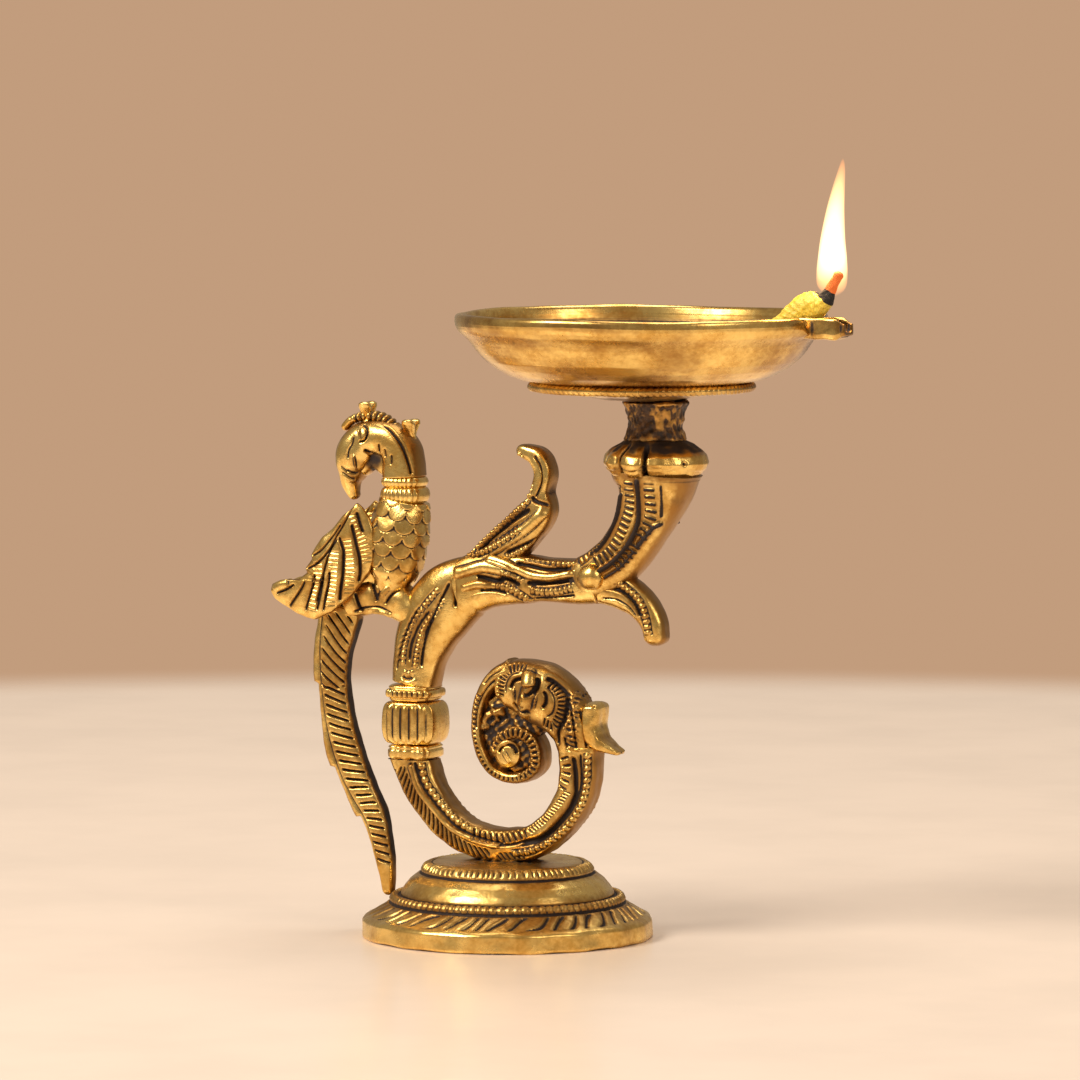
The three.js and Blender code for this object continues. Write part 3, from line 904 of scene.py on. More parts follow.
@dataclass
class Foot:
    """The stepped round foot and the bolt that holds the scroll on it."""

    shop: Workshop
    slashes: int = 46
    big_beads: int = 92
    top_beads: int = 76

    def build(self) -> None:
        """Makes the foot and dresses its bolt."""
        hole = 2.6
        skin = turned(
            [
                (33.3, 0), (36.2, 0), (36.5, 0.5), (36.5, 4.3), (36, 5), (34.8, 5.6), (31.5, 7.6),
                (29.6, 8.9), (29.2, 9.6), (28.6, 10.3), (27.6, 10.3), (27, 10.8), (26, 12.6), (24.5, 14.4),
                (22.8, 15.7), (21.9, 16.3), (21.8, 17), (20.8, 18.1), (19.8, 18.75), (19, 18.8), (hole, 18.8),
                (hole, 16.1), (18.4, 16.1), (23.2, 11.4), (26, 8), (32.4, 3.2), (33.3, 0),
            ],
            0, 0.34, looped=True, lobes=2,
        )
        outer = smooth(0.05, 0.3, skin.normals()[..., 2]) + smooth(34, 35.5, skin.across)
        skin.raised(self._relief(skin) * np.clip(outer, 0, 1), 0.9)
        rim = smooth(34.8, 36.2, skin.across) * smooth(6, 4, skin.z)
        skin.raised(rim * 0.3 * ripple(skin.points, 12))
        x, y, z = np.moveaxis(skin.points, 2, 0)
        crust = np.exp(-((x / 8.5) ** 4) - (y / 5.2) ** 4) * smooth(18.5, 18.7, z)
        skin.raised(crust * (0.55 + 0.5 * ripple(skin.points, 2.2)))
        # painted shade: the mound under the scroll is darkened as its contact shadow, and the outer edge is
        # darkened along the floor as a contact shadow
        skin.stained_and_shaded(0.95 * crust + 0.5 * smooth(1.2, 0, z) * smooth(35, 36, skin.across))
        self.shop.make("base_foot", skin, Slot.FOOT)
        self.shop.keep("base_bolt", Slot.STEEL)
        self.shop.keep("base_washer", Slot.STEEL)

    def _relief(self, skin: Skin) -> Array:
        """Returns the height of the foot's chased rings: slashes, beads and a nicked top edge."""
        radius, turn, z = skin.across, skin.turn, skin.z
        round_foot = turn / (2 * math.pi)
        wobble = 0.25 * np.sin(5 * turn + 1) + 0.2 * np.sin(9 * turn) + 0.12 * np.sin(23 * turn)

        def near(at: float, height: float, width: float) -> Array:
            """Returns 1 on a ring of the profile, falling away over a width."""
            return np.exp(-((np.hypot(radius - at, z - height) / width) ** 2))

        slash = saw(self.slashes * round_foot + 0.22 * (radius - 32) + wobble)
        ring = smooth(30.0, 30.8, radius) * smooth(35.0, 34.2, radius)
        height = -0.85 * np.exp(-((slash / 0.25) ** 2)) * ring
        big = saw(self.big_beads * round_foot + wobble * 0.5)
        height += 0.65 * dome(np.hypot(big * 0.93, np.hypot(radius - 28.7, z - 9.9) / 1.25))
        height -= 0.5 * near(27.2, 10.6, 0.4) + 0.45 * near(29.8, 8.8, 0.35)
        nick = saw(self.top_beads * round_foot + wobble)
        height += near(20.8, 18.0, 1.2) * (0.25 - 0.6 * np.exp(-((nick / 0.32) ** 2)))
        height -= 0.45 * near(22, 16.3, 0.35) + 0.35 * near(19, 18.8, 0.3)
        return height + 0.07 * ripple(skin.points, 5) * smooth(0.5, 3, z)


# ---------------------------------------------------------------- the scroll and the yali


@dataclass
class Scroll:
    """The scroll that rises from the foot, with the yali's head and curled trunk at its end."""

    shop: Workshop
    rows: Points = (
        (-26.4, 46.8, 11.6, 9.8), (-25.4, 43.7, 11.2, 9.6), (-23, 37.4, 10.2, 9.4), (-19.8, 32.4, 9.2, 9.2),
        (-15.6, 27.9, 8.8, 9.2), (-11, 24.9, 8.6, 9.2), (-5.4, 23.3, 8.4, 9.2), (0.8, 22.9, 8.6, 9.2),
        (7.2, 24.0, 8.5, 9.2), (12.1, 27, 8.4, 9.2), (16.2, 31.4, 8.8, 9.2), (19.1, 36.4, 9.6, 9.2),
        (20.3, 42, 10, 9.2), (20.2, 48.6, 10.6, 9.4),
    )
    head_rows: Points = (
        (19.8, 47.4, 10, 9.6), (18.6, 53, 12, 12), (15.2, 58, 14.4, 13), (10.6, 61.2, 15.8, 13.4),
        (5.8, 63, 14.4, 12.8), (1.2, 63.6, 12, 11.6), (-1.4, 63.6, 8, 9.6),
    )
    trunk_rows: Points = (
        (2.5, 67.5, 6, 10), (-2.2, 65, 5, 10), (-5.2, 61.2, 3.8, 9.8), (-6.8, 56.5, 3.3, 9.6),
        (-6.9, 50.7, 3.1, 9.4), (-5.6, 45.7, 3.1, 9.2), (-2.8, 42, 3.1, 9.2), (1.4, 40.3, 3.1, 9.2),
        (5.8, 40.7, 3.1, 9.2), (8.9, 43.2, 3.3, 9), (9.1, 46.9, 3.5, 9), (7.5, 50.2, 3.7, 9),
        (4.2, 51.8, 3.7, 9), (0.8, 50.9, 3.5, 9), (-1.4, 48.4, 3, 9), (-2, 45.8, 2, 8.8),
    )
    coil: tuple[float, float] = (1.6, 46.3)
    seat: float = 43.6
    fin_rows: Points = (
        (24, 60.2, 4.6, 9.4), (24, 58.2, 4.8, 9.6), (23.9, 54.4, 4.4, 9.8), (24.2, 52, 4.8, 9.6),
        (25.6, 50.1, 3.8, 9), (28.2, 48.6, 2.4, 8), (31.2, 47.3, 1, 5),
    )

    def build(self) -> None:
        """Makes the six castings."""
        self._strap()
        self._head()
        self._trunk()
        self._boss()
        self._web()
        self._fin()

    def _strap(self) -> None:
        """Makes the scroll, with its crescents, ribs and bead rows."""
        skin = bar(self.rows, 4, 0.22)
        skin.rippled(0.1, 4)
        seated = skin.x < 0
        skin.points[..., 2] = np.where(seated, np.minimum(skin.z, self.seat), skin.z)
        spine = [(-24.7, 42.6), (-22.7, 36.8), (-19.2, 32.5), (-13.6, 27), (-6.7, 24.2), (-0.2, 23)]
        skin.carved(
            ridge(spine, 0.8, 0.75, 0.4),
            groove([(x + 1.1, z + 0.7) for x, z in spine], 0.45, 0.5, 0.4),
            rungs([(-28.2, 41.6), (-25.6, 36.2), (-22, 31.4), (-17.8, 27.2), (-12.9, 23.4), (-8.1, 21.2),
                   (-3, 20.2)],
                  2.0, 1.0, 1.62, 0.75, 0.14),
            beads([(-22, 43), (-20.4, 38), (-16.9, 33.5), (-12.6, 29.4), (-8.9, 27)], 1.1, 0.75, 1.75),
            rungs([(-8.1, 26.2), (-3.3, 25.1), (1.6, 25.2), (7.1, 26.8)], 1.5, 0.8, 1.6, 0.3),
            groove([(-8.1, 24.6), (-3, 23.5), (2, 23.4), (7, 24.6)], 0.5, 0.7),
            rungs([(7.7, 27.1), (12.5, 30.8), (16.6, 35.4), (18.7, 38)], 1.0, 0.35, 0.9, 0.4),
            groove([(5.7, 24.2), (11.2, 25.7), (16.6, 30.4), (20.1, 35.6), (20.6, 40), (19.8, 46.8)],
                   0.9, 1.3, 1.5),
            beads([(3.4, 21.2), (8.9, 22.4), (14.9, 25.9), (19.6, 30.4), (22.2, 34.8), (23.5, 40.6),
                   (23.8, 47.6)],
                  1.0, 0.85, 1.55, 0.3),
            groove([(5, 23.3), (10, 24.5), (15.2, 28.2), (19.1, 32.4), (21.3, 36.9), (22.1, 41.5),
                    (21.9, 47.6)],
                   0.5, 0.8, 1.2),
            rungs([(17.2, 46.9), (18, 43.7), (17.6, 40.6), (16.4, 37.6)], 1.4, 0.8, 1.9),
            rungs([(6.5, 20.9), (-1, 20.2)], 1.2, 0.5, 1.3, 0.6),
        )
        # painted shade on the underside where the scroll sits on the foot; also darker along one edge
        skin.stained_and_shaded(0.5 * smooth(21.5, 19.4, skin.z) + 0.3 * smooth(0.82, 1.0, skin.across))
        self.shop.make("scroll_strap", skin)

    def _head(self) -> None:
        """Makes the yali's round face: closed eyes, a broad nose, a smile and a fringe of hair."""
        skin = bar(self.head_rows, 2.6, 0.21)
        skin.carved(ridge([(6.2, 61.8), (10, 60.6)], 6.2, 1.5, 2))
        skin.carved(
            ridge([(8.0, 67.6), (8.7, 66), (9.3, 63.7)], 1.8, 1.4, 0.5),
            ridge([(4.4, 61.6), (4.8, 61.6)], 1.9, 0.8, 0.1),
            ridge([(10.4, 60.2), (10.8, 60.1)], 2.0, 0.8, 0.1),
            ridge([(7.3, 59.8), (7.7, 59.7)], 1.7, 0.5, 0.1),
            groove([(7.3, 62.4), (8.1, 61.6), (9.3, 61.7), (10.6, 63.1), (11.2, 65.2), (10.7, 66.4)],
                   0.6, 1.4, 0.8),
            groove([(3.3, 63.0), (4.3, 65), (5.9, 65.7), (7.2, 65.8)], 0.6, 1.3, 0.8),
            groove([(12.1, 58.3), (13.2, 59.8), (13.3, 61.7), (12.4, 62.9)], 0.6, 1.3, 0.8),
            groove([(4.2, 59.6), (5, 57.9), (6.7, 56.9), (9, 57.5)], 0.6, 1.2, 0.7),
            groove([(5.6, 59.6), (6.4, 58.6), (8, 58.4)], 0.35, 0.5),
            rungs([(0.3, 60.8), (0.4, 63.1), (0.9, 65.3), (2.3, 67.3), (4.9, 68.6), (7.4, 68.5)],
                  1.3, 0.8, 1.05),
            rungs([(14, 64.9), (16.3, 63.3), (17.6, 60.5), (17.1, 57.1), (15, 54.1), (12.2, 55)],
                  1.3, 0.85, 1.1),
            groove([(2.1, 61.8), (2.2, 64.4), (3.8, 66.6), (6, 67.3)], 0.35, 0.5),
            groove([(13.2, 64.2), (15, 62.2), (15.7, 60), (15, 57.4), (13.2, 56.2)], 0.35, 0.6),
            groove([(12.7, 66.3), (15.3, 65.4), (18.4, 62.9), (19.1, 60), (18.2, 55.7), (16.4, 53),
                    (15.6, 49)],
                   0.8, 1.5, 0.8),
            groove([(19.4, 60.4), (20.5, 55.3), (21, 48.4)], 0.45, 0.8),
            groove([(21.8, 58.6), (23.1, 53.5), (23.6, 48.4)], 0.45, 0.7),
            groove([(17.8, 51.6), (18.6, 48)], 0.45, 0.8),
        )
        skin.rippled(0.06, 4)
        x, z = skin.x, skin.z
        # darker towards the bottom of the face, left of the mane
        skin.stained_and_shaded(0.6 * smooth(57, 54.5, z) * smooth(14.8, 12, x))
        cheek = smooth(17.6, 18.8, x) * smooth(22.4, 21, x) * smooth(64, 61, z)
        skin.raised(0.3 * cheek * ripple(skin.points, 1.6, 9), 0.9).stained_and_shaded(0.45 * cheek)
        self.shop.make("yali_head", skin)

    def _trunk(self) -> None:
        """Makes the curled trunk, nicked along its outer edge and ribbed on its inner turn."""
        skin = bar(self.trunk_rows, 3, 0.2, (0, 1.0))
        skin.carved(
            rungs(skin.line(0.16, 0.62, -0.35), 1.0, 0.6, 1.25),
            groove(skin.line(0.02, 0.3, 0.3), 0.4, 0.6),
            groove(skin.line(0, 0.12, -0.35), 0.4, 0.7),
            rungs(skin.line(0.6, 0.985, 0.05), 1.7, 0.95, 1.35),
        )
        skin.rippled(0.05, 3)
        self.shop.make("yali_trunk", skin)

    def _boss(self) -> None:
        """Makes the polished boss in the coil, with its comma cut."""
        half = 4.9
        profile = [(0, -half), (2.4, -half + 0.2), (3.4, -half + 0.9), (3.7, -half + 2)]
        skin = turned([*profile, *[(r, -z) for r, z in reversed(profile)]], 0, 0.18)
        x, y, z = np.moveaxis(skin.points, 2, 0)
        skin.points = np.stack([self.coil[0] + x, -z, self.coil[1] + y], axis=2)
        skin.carved(
            groove([(-0.5, 46.6), (0.4, 48.2), (2.2, 48.9), (3.9, 48.2), (4.6, 46.4)], 0.55, 1.2, 0.6),
            ridge([(1.2, 45.6), (2.2, 46.2)], 2.0, 0.5, 0.3),
        )
        self.shop.make("trunk_eye", skin)

    def _web(self) -> None:
        """Makes the sunk wall between the face and the coil, and between the coil's turns, darkened all over
        as painted shade in the recess.
        """
        skin = plate(
            [(-5.5, 58.5), (-6, 52), (-5, 46), (-2, 42.2), (3, 41), (7.5, 42.5), (9.8, 46.5), (9, 51),
             (12, 53), (13, 56), (8, 58.5), (2, 60.5), (-2.5, 61.5)],
            (2, 51), 3.1, 4, 0.3,
        )
        skin.carved(
            ridge([(-5, 51.4), (-4.5, 54), (-3.2, 55.8), (-1, 56.8), (1, 57)], 1.2, 1.5, 1.2),
            ridge([(-3, 52.9), (-2.2, 54.4), (-0.6, 55.2)], 0.7, 0.9, 0.8),
        )
        # painted shade: the whole sunk wall is darkened as the shade in the recess, less towards its top
        skin.rippled(0.35, 2.2).stained_and_shaded(0.8 - 0.6 * smooth(54, 57, skin.z))
        self.shop.make("coil_web", skin)

    def _fin(self) -> None:
        """Makes the swallow-tailed ear on the scroll's back."""
        skin = bar(self.fin_rows, 4, 0.24, (1.6, 0.5))
        # darker towards its bottom
        skin.rippled(0.1, 4).stained_and_shaded(0.25 * smooth(53, 49, skin.z))
        self.shop.make("yali_ear_fin", skin)


# ---------------------------------------------------------------- the collar


@dataclass
class Collar:
    """The band round the scroll's neck: a fluted cushion between two rings."""

    shop: Workshop
    flutes: float = 5.5

    def build(self) -> None:
        """Makes the three rings."""
        self._ring("collar_lower_ring", 12.4, 13.4, self._facets)
        self._ring("collar_fluted_band", 13, 14.2, self._flutes)
        self._ring("collar_upper_ring", 12.2, 13.2, self._nicks)

    def _ring(
        self, node: str, width: float, thickness: float, relief: Callable[[Skin, float], Array]
    ) -> None:
        """Makes one ring.

        Args:
            node: The CAD node it stands for.
            width: Its size in the figure's plane.
            thickness: Its size across.
            relief: Gives its height from its skin and its own height.
        """
        low, high = (corner[2] for corner in span(node))
        x = span(node).mean(0)[0]
        tall = high - low
        rows = [
            (x, low, width - 1.6, thickness - 1.6), (x, low + 0.12 * tall, width - 0.3, thickness - 0.3),
            (x, low + 0.3 * tall, width, thickness), (x, high - 0.3 * tall, width, thickness),
            (x, high - 0.12 * tall, width - 0.3, thickness - 0.3), (x, high, width - 1.6, thickness - 1.6),
        ]
        skin = bar(rows, 3.6, 0.22)
        skin.raised(relief(skin, tall) + 0.06 * ripple(skin.points, 5), 0.9)
        self.shop.make(node, skin)

    def _flutes(self, skin: Skin, tall: float) -> Array:
        """Returns upright flutes on the faces, and a swelling on the plain sides."""
        face = smooth(0.35, 0.7, skin.facing())
        level = smooth(0.3, 1.1, skin.along) * smooth(0.3, 1.1, tall - skin.along)
        flute = 1.05 * np.sqrt(np.abs(np.cos(self.flutes * math.pi / 2 * skin.across)))
        side = 1.1 * (1 - face) * dome((skin.along / tall * 2 - 1) * 0.98)
        return face * level * (flute - 0.85) + side

    def _facets(self, skin: Skin, tall: float) -> Array:
        """Returns a plain band with a few flat facets and a cut line below its top."""
        face = smooth(0.3, 0.6, skin.facing())
        facet = 0.3 * np.cos(skin.across * math.pi * 3.2)
        return face * facet - 0.5 * np.exp(-(((skin.along - 0.74 * tall) / 0.25) ** 2))

    def _nicks(self, skin: Skin, tall: float) -> Array:
        """Returns a row of short beads between two cut lines."""
        band = dome(np.clip((skin.along - 0.46 * tall) / 1.1, -1, 1))
        nick = np.exp(-((saw(skin.across * 4.5) / 0.36) ** 2)) * smooth(0.3, 0.6, skin.facing())
        lines = sum(np.exp(-(((skin.along - share * tall) / 0.22) ** 2)) for share in (0.16, 0.78))
        return band * (0.6 - 0.75 * nick) - 0.45 * lines


# ---------------------------------------------------------------- the stem, the branch and the bud


@dataclass
class Branch:
    """The stem above the collar, the leafy branch that grows from it, and the bud that holds the dish."""

    shop: Workshop
    stem_rows: Points = (
        (-25, 62.8, 12, 11), (-24.1, 69, 13.4, 10.6), (-22.4, 74.5, 15.5, 10.4), (-19.6, 80, 17.6, 10.2),
        (-15.6, 84.6, 17.8, 10), (-10.6, 87.6, 16, 9.8), (-6, 89, 13, 9),
    )
    arm_rows: Points = (
        (-13, 86.8, 14, 9), (-8, 88.8, 15, 9.6), (-3, 89.8, 13.8, 9.4), (4.2, 90.2, 12.8, 9.2),
        (11.3, 90.2, 11.2, 9), (20.4, 90, 11.4, 9), (25, 90.2, 11, 8.6),
    )
    upper_rows: Points = (
        (-11, 91.6, 5, 7), (-5, 95.4, 8.4, 7.6), (0.6, 99, 10.6, 8.2), (5, 103, 10.2, 8.2),
        (9, 107.8, 9, 8), (9.8, 112.5, 5.2, 7.8), (10.6, 117, 5.2, 7.6), (9, 120.6, 5.2, 7.2),
        (5.6, 122.2, 3.8, 6), (2.8, 122.4, 2.4, 4.4),
    )
    lower_rows: Points = (
        (26, 88.8, 8.4, 7.6), (29, 88.6, 9, 8), (33.2, 87.2, 8.8, 8), (37, 84.6, 7.6, 8),
        (39.7, 81, 6.6, 7.6), (40.6, 77.6, 5.8, 7.4), (40.8, 74.6, 5, 6.6),
    )
    stalk_rows: Points = (
        (19, 89.6, 9.6, 8.6), (22, 90.8, 11.6, 9.4), (26.6, 92.8, 13, 10), (31.4, 96.8, 13, 11),
        (35.2, 102.1, 13.6, 12), (38.3, 107.8, 15.2, 13.8), (40.1, 113, 18.4, 17), (40.5, 117.8, 22.2, 21),
    )
    cuts: tuple[float, ...] = (81, 114, 147, 213, 246, 279)

    def build(self) -> None:
        """Makes the stem, the branch with its leaves and berries, and the bud."""
        self._stem()
        self._arm()
        self._upper_leaf()
        self._lower_leaf()
        self._stalk()
        self._berries()
        self._bud()
        self._neck()

    def _stem(self) -> None:
        """Makes the stem, with a drop-shaped panel of beads over a smooth crescent."""
        skin = bar(self.stem_rows, 2.7, 0.25)
        skin.carved(
            groove([(-28.6, 66), (-27.8, 71), (-25.6, 76.6), (-22.4, 82.4)], 0.4, 0.7, 1.5),
            beads([(-26.7, 67.8), (-26.1, 73), (-23.9, 78.8), (-20.6, 83), (-16.8, 87.2)], 0.85, 0.6, 1.25),
            groove([(-24.8, 68.6), (-24.3, 73), (-22.1, 78), (-19, 82)], 0.5, 0.8, 1.5),
            beads([(-23.2, 67.2), (-22.5, 72), (-20.9, 77), (-18.2, 80.6), (-15.4, 84.8)], 0.8, 0.55, 1.25),
            groove([(-21.6, 67), (-21, 72), (-19.5, 77.4), (-16.6, 83.6), (-13.6, 89.4)], 0.5, 0.9, 1.5),
            groove([(-26.9, 65.2), (-25.4, 64.3), (-23.4, 64.8)], 0.5, 0.6),
            beads([(-26.4, 66.2), (-25, 65.6), (-23.4, 66.2)], 0.7, 0.4, 1.1),
            ridge([(-27.2, 64.2), (-25.2, 63.3), (-22.6, 64)], 0.6, 0.35),
            rungs([(-28, 68), (-27.4, 72), (-25, 77.5), (-21, 83)], 0.8, 0.5, 1.7, 0.8),
            groove([(-12.9, 90.4), (-12.5, 86.6), (-12.2, 82.7)], 0.55, 1.5, 0.7),
        )
        skin.rippled(0.07, 6)
        self.shop.make("upper_stem", skin)

    def _arm(self) -> None:
        """Makes the branch, wound with leaves that have beaded edges."""
        skin = bar(self.arm_rows, 3.2, 0.24)
        skin.carved(
            ridge([(-13, 91.2), (-10, 91.8), (-4.4, 93.3), (1.2, 92.4), (3.6, 91.2)], 1.5, 1.1, 1.5),
            beads([(0.5, 91.8), (4, 90.9), (6, 89.8)], 1.0, 0.7, 1.35),
            ridge([(-4.4, 95.6), (1, 94.3), (4, 93.2), (7.5, 91.8), (13.1, 91.1), (20, 92.3)],
                  1.1, 0.95, 1.5),
            groove([(-10.7, 89.5), (-5.8, 90.6), (-0.9, 89.8), (1.9, 90.5), (5.6, 88.6)], 0.8, 1.3, 1.2),
            groove([(6.8, 89.5), (11.7, 89.6), (17.9, 90.4), (20.6, 91.2)], 0.75, 1.2, 1.2),
            groove([(4, 94.5), (8.2, 94), (13.1, 93.2), (18.6, 93.7), (21, 94.4)], 0.65, 1.2, 1.0),
            beads([(6.6, 96.4), (11.7, 95.7), (15.9, 94.9), (20.7, 95)], 1.1, 0.8, 1.4),
            ridge([(-11, 87.4), (-6.3, 88.7), (-2.5, 88.4)], 1.0, 0.6, 1.5),
            groove([(-10.7, 85), (-6.5, 87), (-1.6, 87.4), (2, 86.6)], 0.55, 0.9, 1.0),
            beads([(-1.3, 88.8), (2.6, 88), (6.1, 85.9), (8, 84.4)], 1.1, 0.8, 1.35),
            beads([(8.2, 87.9), (11.7, 87.3), (15.9, 87.8), (19.8, 88.8)], 1.1, 0.8, 1.3),
            groove([(8.9, 85.5), (14.5, 85.9), (20.5, 86.9)], 0.45, 0.8),
        )
        skin.rippled(0.07, 5)
        self.shop.make("branch_arm", skin)

    def _upper_leaf(self) -> None:
        """Makes the tall leaf whose tip curls back."""
        skin = bar(self.upper_rows, 3.2, 0.24, (0, 1.6))
        skin.carved(
            beads([(-12, 94.2), (-5.1, 100.2), (0.5, 105), (5.8, 109.2), (8.2, 112)], 1.15, 0.85, 1.4),
            groove([(-6.5, 97.3), (-2.3, 101), (3.3, 105.3), (8.2, 108.3)], 0.8, 1.4, 1.6),
            beads([(-10, 95.3), (-3.7, 97.7), (1.9, 100.8), (5.4, 103.2)], 1.05, 0.8, 1.4),
            ridge([(-3.7, 96.8), (1.9, 99.9), (7.5, 103.7), (12, 107.8)], 1.4, 0.8, 2),
            beads([(6.9, 111.2), (7.6, 113.7), (7.3, 117.3), (5.4, 120), (3.6, 121.8)], 0.8, 0.55, 1.1),
            groove([(9.3, 110.8), (11, 115), (10.6, 118.8), (8.6, 121.8)], 0.4, 0.7, 1),
            groove([(1.2, 96.8), (6.1, 98.9), (11.7, 101.4)], 0.55, 1.0),
            beads([(1.2, 95.6), (6.1, 97.6), (11.7, 100)], 1.0, 0.8, 1.35),
            groove([(7.6, 111.2), (10, 109.8), (13.2, 109.2)], 0.6, 1.0, 0.5),
        )
        skin.rippled(0.06, 4)
        # darker along one edge
        skin.stained_and_shaded(0.35 * smooth(-0.7, -1, skin.across))
        self.shop.make("upper_leaf", skin)

    def _lower_leaf(self) -> None:
        """Makes the short leaf that hangs below the bud's stalk."""
        skin = bar(self.lower_rows, 2.8, 0.25, (0, 1.8))
        skin.carved(
            beads([(26.3, 91.4), (30.8, 90.7), (34.6, 88.5), (37.4, 86), (39, 82.4), (39.9, 77.5)],
                  1.1, 0.8, 1.35),
            groove([(26.7, 89.2), (30.8, 88.9), (33.9, 87.6), (36.4, 85.2), (37.8, 82)], 0.6, 1.1),
            groove([(27, 86.2), (31, 86.2), (34.4, 84.6), (36.6, 82)], 0.35, 0.6),
            beads([(38.4, 76), (39, 79), (38.6, 82)], 0.5, 0.3, 0.9),
        )
        skin.rippled(0.06, 4)
        self.shop.make("lower_leaf", skin)

    def _stalk(self) -> None:
        """Makes the horn-shaped stalk under the bud, with two laddered bands beside a deep cut."""
        skin = bar(self.stalk_rows, 2.6, 0.25)
        skin.carved(
            groove([(26.3, 92.7), (30.3, 95), (33.7, 98.1), (36.7, 102), (38.5, 105.8), (39.2, 110),
                    (39.6, 117.4)],
                   1.0, 1.5, 1.5),
            rungs([(25.8, 95), (29.9, 97.7), (32.6, 101.2), (34.7, 105.4), (36.3, 109.6), (37.1, 116.4)],
                  1.5, 0.95, 1.6),
            groove([(24, 96.6), (28, 99.4), (30.8, 103), (33, 107.6), (34.4, 113.4)], 0.6, 1.2),
            beads([(21.3, 95.2), (25.4, 98.2), (28.4, 101.6), (31, 106.1), (32.4, 111), (32.8, 115.4)],
                  1.2, 0.85, 1.45),
            rungs([(31.7, 93.9), (35, 96.9), (38.1, 101)], 1.3, 0.8, 1.5),
            rungs([(38.6, 101.6), (40.6, 104.7), (42, 108.5), (42.4, 116)], 1.6, 0.8, 1.8),
            groove([(44.2, 107), (45, 111), (45.4, 115.6)], 0.4, 0.7),
            groove([(37.4, 99.4), (40.2, 102.7), (42.2, 104.8), (44.6, 106)], 0.7, 1.3, 1.2),
            groove([(28, 91.2), (33, 94.4), (37, 98.8)], 0.5, 0.9, 1.2),
        )
        skin.rippled(0.07, 6)
        skin.stained_and_shaded(-0.9 * smooth(115, 116.4, skin.z))
        self.shop.make("bud_stem", skin)

    def _berries(self) -> None:
        """Makes the berry on each side of the branch."""
        for side, name in ((-1, "branch_berry_near"), (1, "branch_berry_far")):
            low, high = span(name)
            centre = (low + high) / 2
            rows = [(centre[0] - 4.4, centre[2] - 1.6, 4.4, 4.4), (centre[0] - 1, centre[2] - 0.6, 6.6, 6.2),
                    (centre[0] + 2.6, centre[2] + 0.4, 6.2, 6)]
            skin = bar(rows, 2, 0.2, (2.6, 2.6))
            skin.stained_and_shaded(0.9 * smooth(1.2, 0.6, np.abs(skin.along - 1.6)))
            skin.points[..., 1] += side * 4.4
            self.shop.make(name, skin)

    def _bud(self) -> None:
        """Makes the lobed cup of the bud, with deep cuts between its petals."""
        centre = span("bud_cup").mean(0)[0]
        skin = turned(
            [(0, 116.6), (8.4, 116.7), (10.6, 117.4), (12.2, 118.8), (12.9, 120.4), (12.4, 122.2),
             (10.8, 123.6), (8.8, 125), (7.6, 126), (7, 126.2), (0, 126.2)],
            centre, 0.26,
        )
        wall = smooth(7.6, 9.6, skin.across)
        level = smooth(125.6, 123.6, skin.z)
        starts = np.radians((*self.cuts, 360 + self.cuts[0]))
        turn = (skin.turn - starts[0]) % (2 * math.pi) + starts[0]
        lobe = np.searchsorted(starts, turn, "right")
        low, high = starts[lobe - 1], starts[np.minimum(lobe, len(starts) - 1)]
        share = np.abs(2 * (turn - low) / np.maximum(high - low, 0.1) - 1)
        gap = (1 - share) * (high - low) / 2 * skin.across
        cut = np.exp(-((gap / 0.5) ** 2))
        hang = skin.z - 118.6 - 1.4 * share**2
        line = np.exp(-((hang / 0.35) ** 2))
        big = smooth(1.2, 1.8, high - low)
        pit = big * np.exp(-(((turn - math.radians(326)) * 12 / 0.45) ** 2) - ((skin.z - 120.6) / 0.4) ** 2)
        relief = 0.8 * (1 - share**3) - 0.4 - 1.9 * cut * level - 0.5 * line * (1 - 0.6 * big) - 0.9 * pit
        skin.raised(wall * relief, 0.9)
        skin.rippled(0.12, 4)
        skin.stained_and_shaded(0.95 * smooth(122.4, 123.8, skin.z) - 0.9 * smooth(119.2, 118.2, skin.z))
        self.shop.make("bud_cup", skin)

    def _neck(self) -> None:
        """Makes the rough neck that the dish screws into."""
        centre = span("socket_neck").mean(0)[0]
        low, high = (corner[2] for corner in span("socket_neck"))
        bore, bottom = 3.35, high - 7.2
        skin = turned(
            [(0, low - 0.4), (7.8, low - 0.4), (7.3, low + 0.6), (6.8, low + 2.4), (6.9, low + 4.4),
             (7.5, high - 1.6), (8.3, high - 0.3), (7.9, high), (bore, high), (bore, bottom), (0, bottom)],
            centre, 0.3,
        )
        outer = smooth(5, 6.4, skin.across)
        skin.raised(outer * (0.28 * ripple(skin.points, 3.2) + 0.16 * ripple(skin.points, 1.3, 3)))
        self.shop.make("socket_neck", skin, Slot.DARK)


# ---------------------------------------------------------------- the peacock


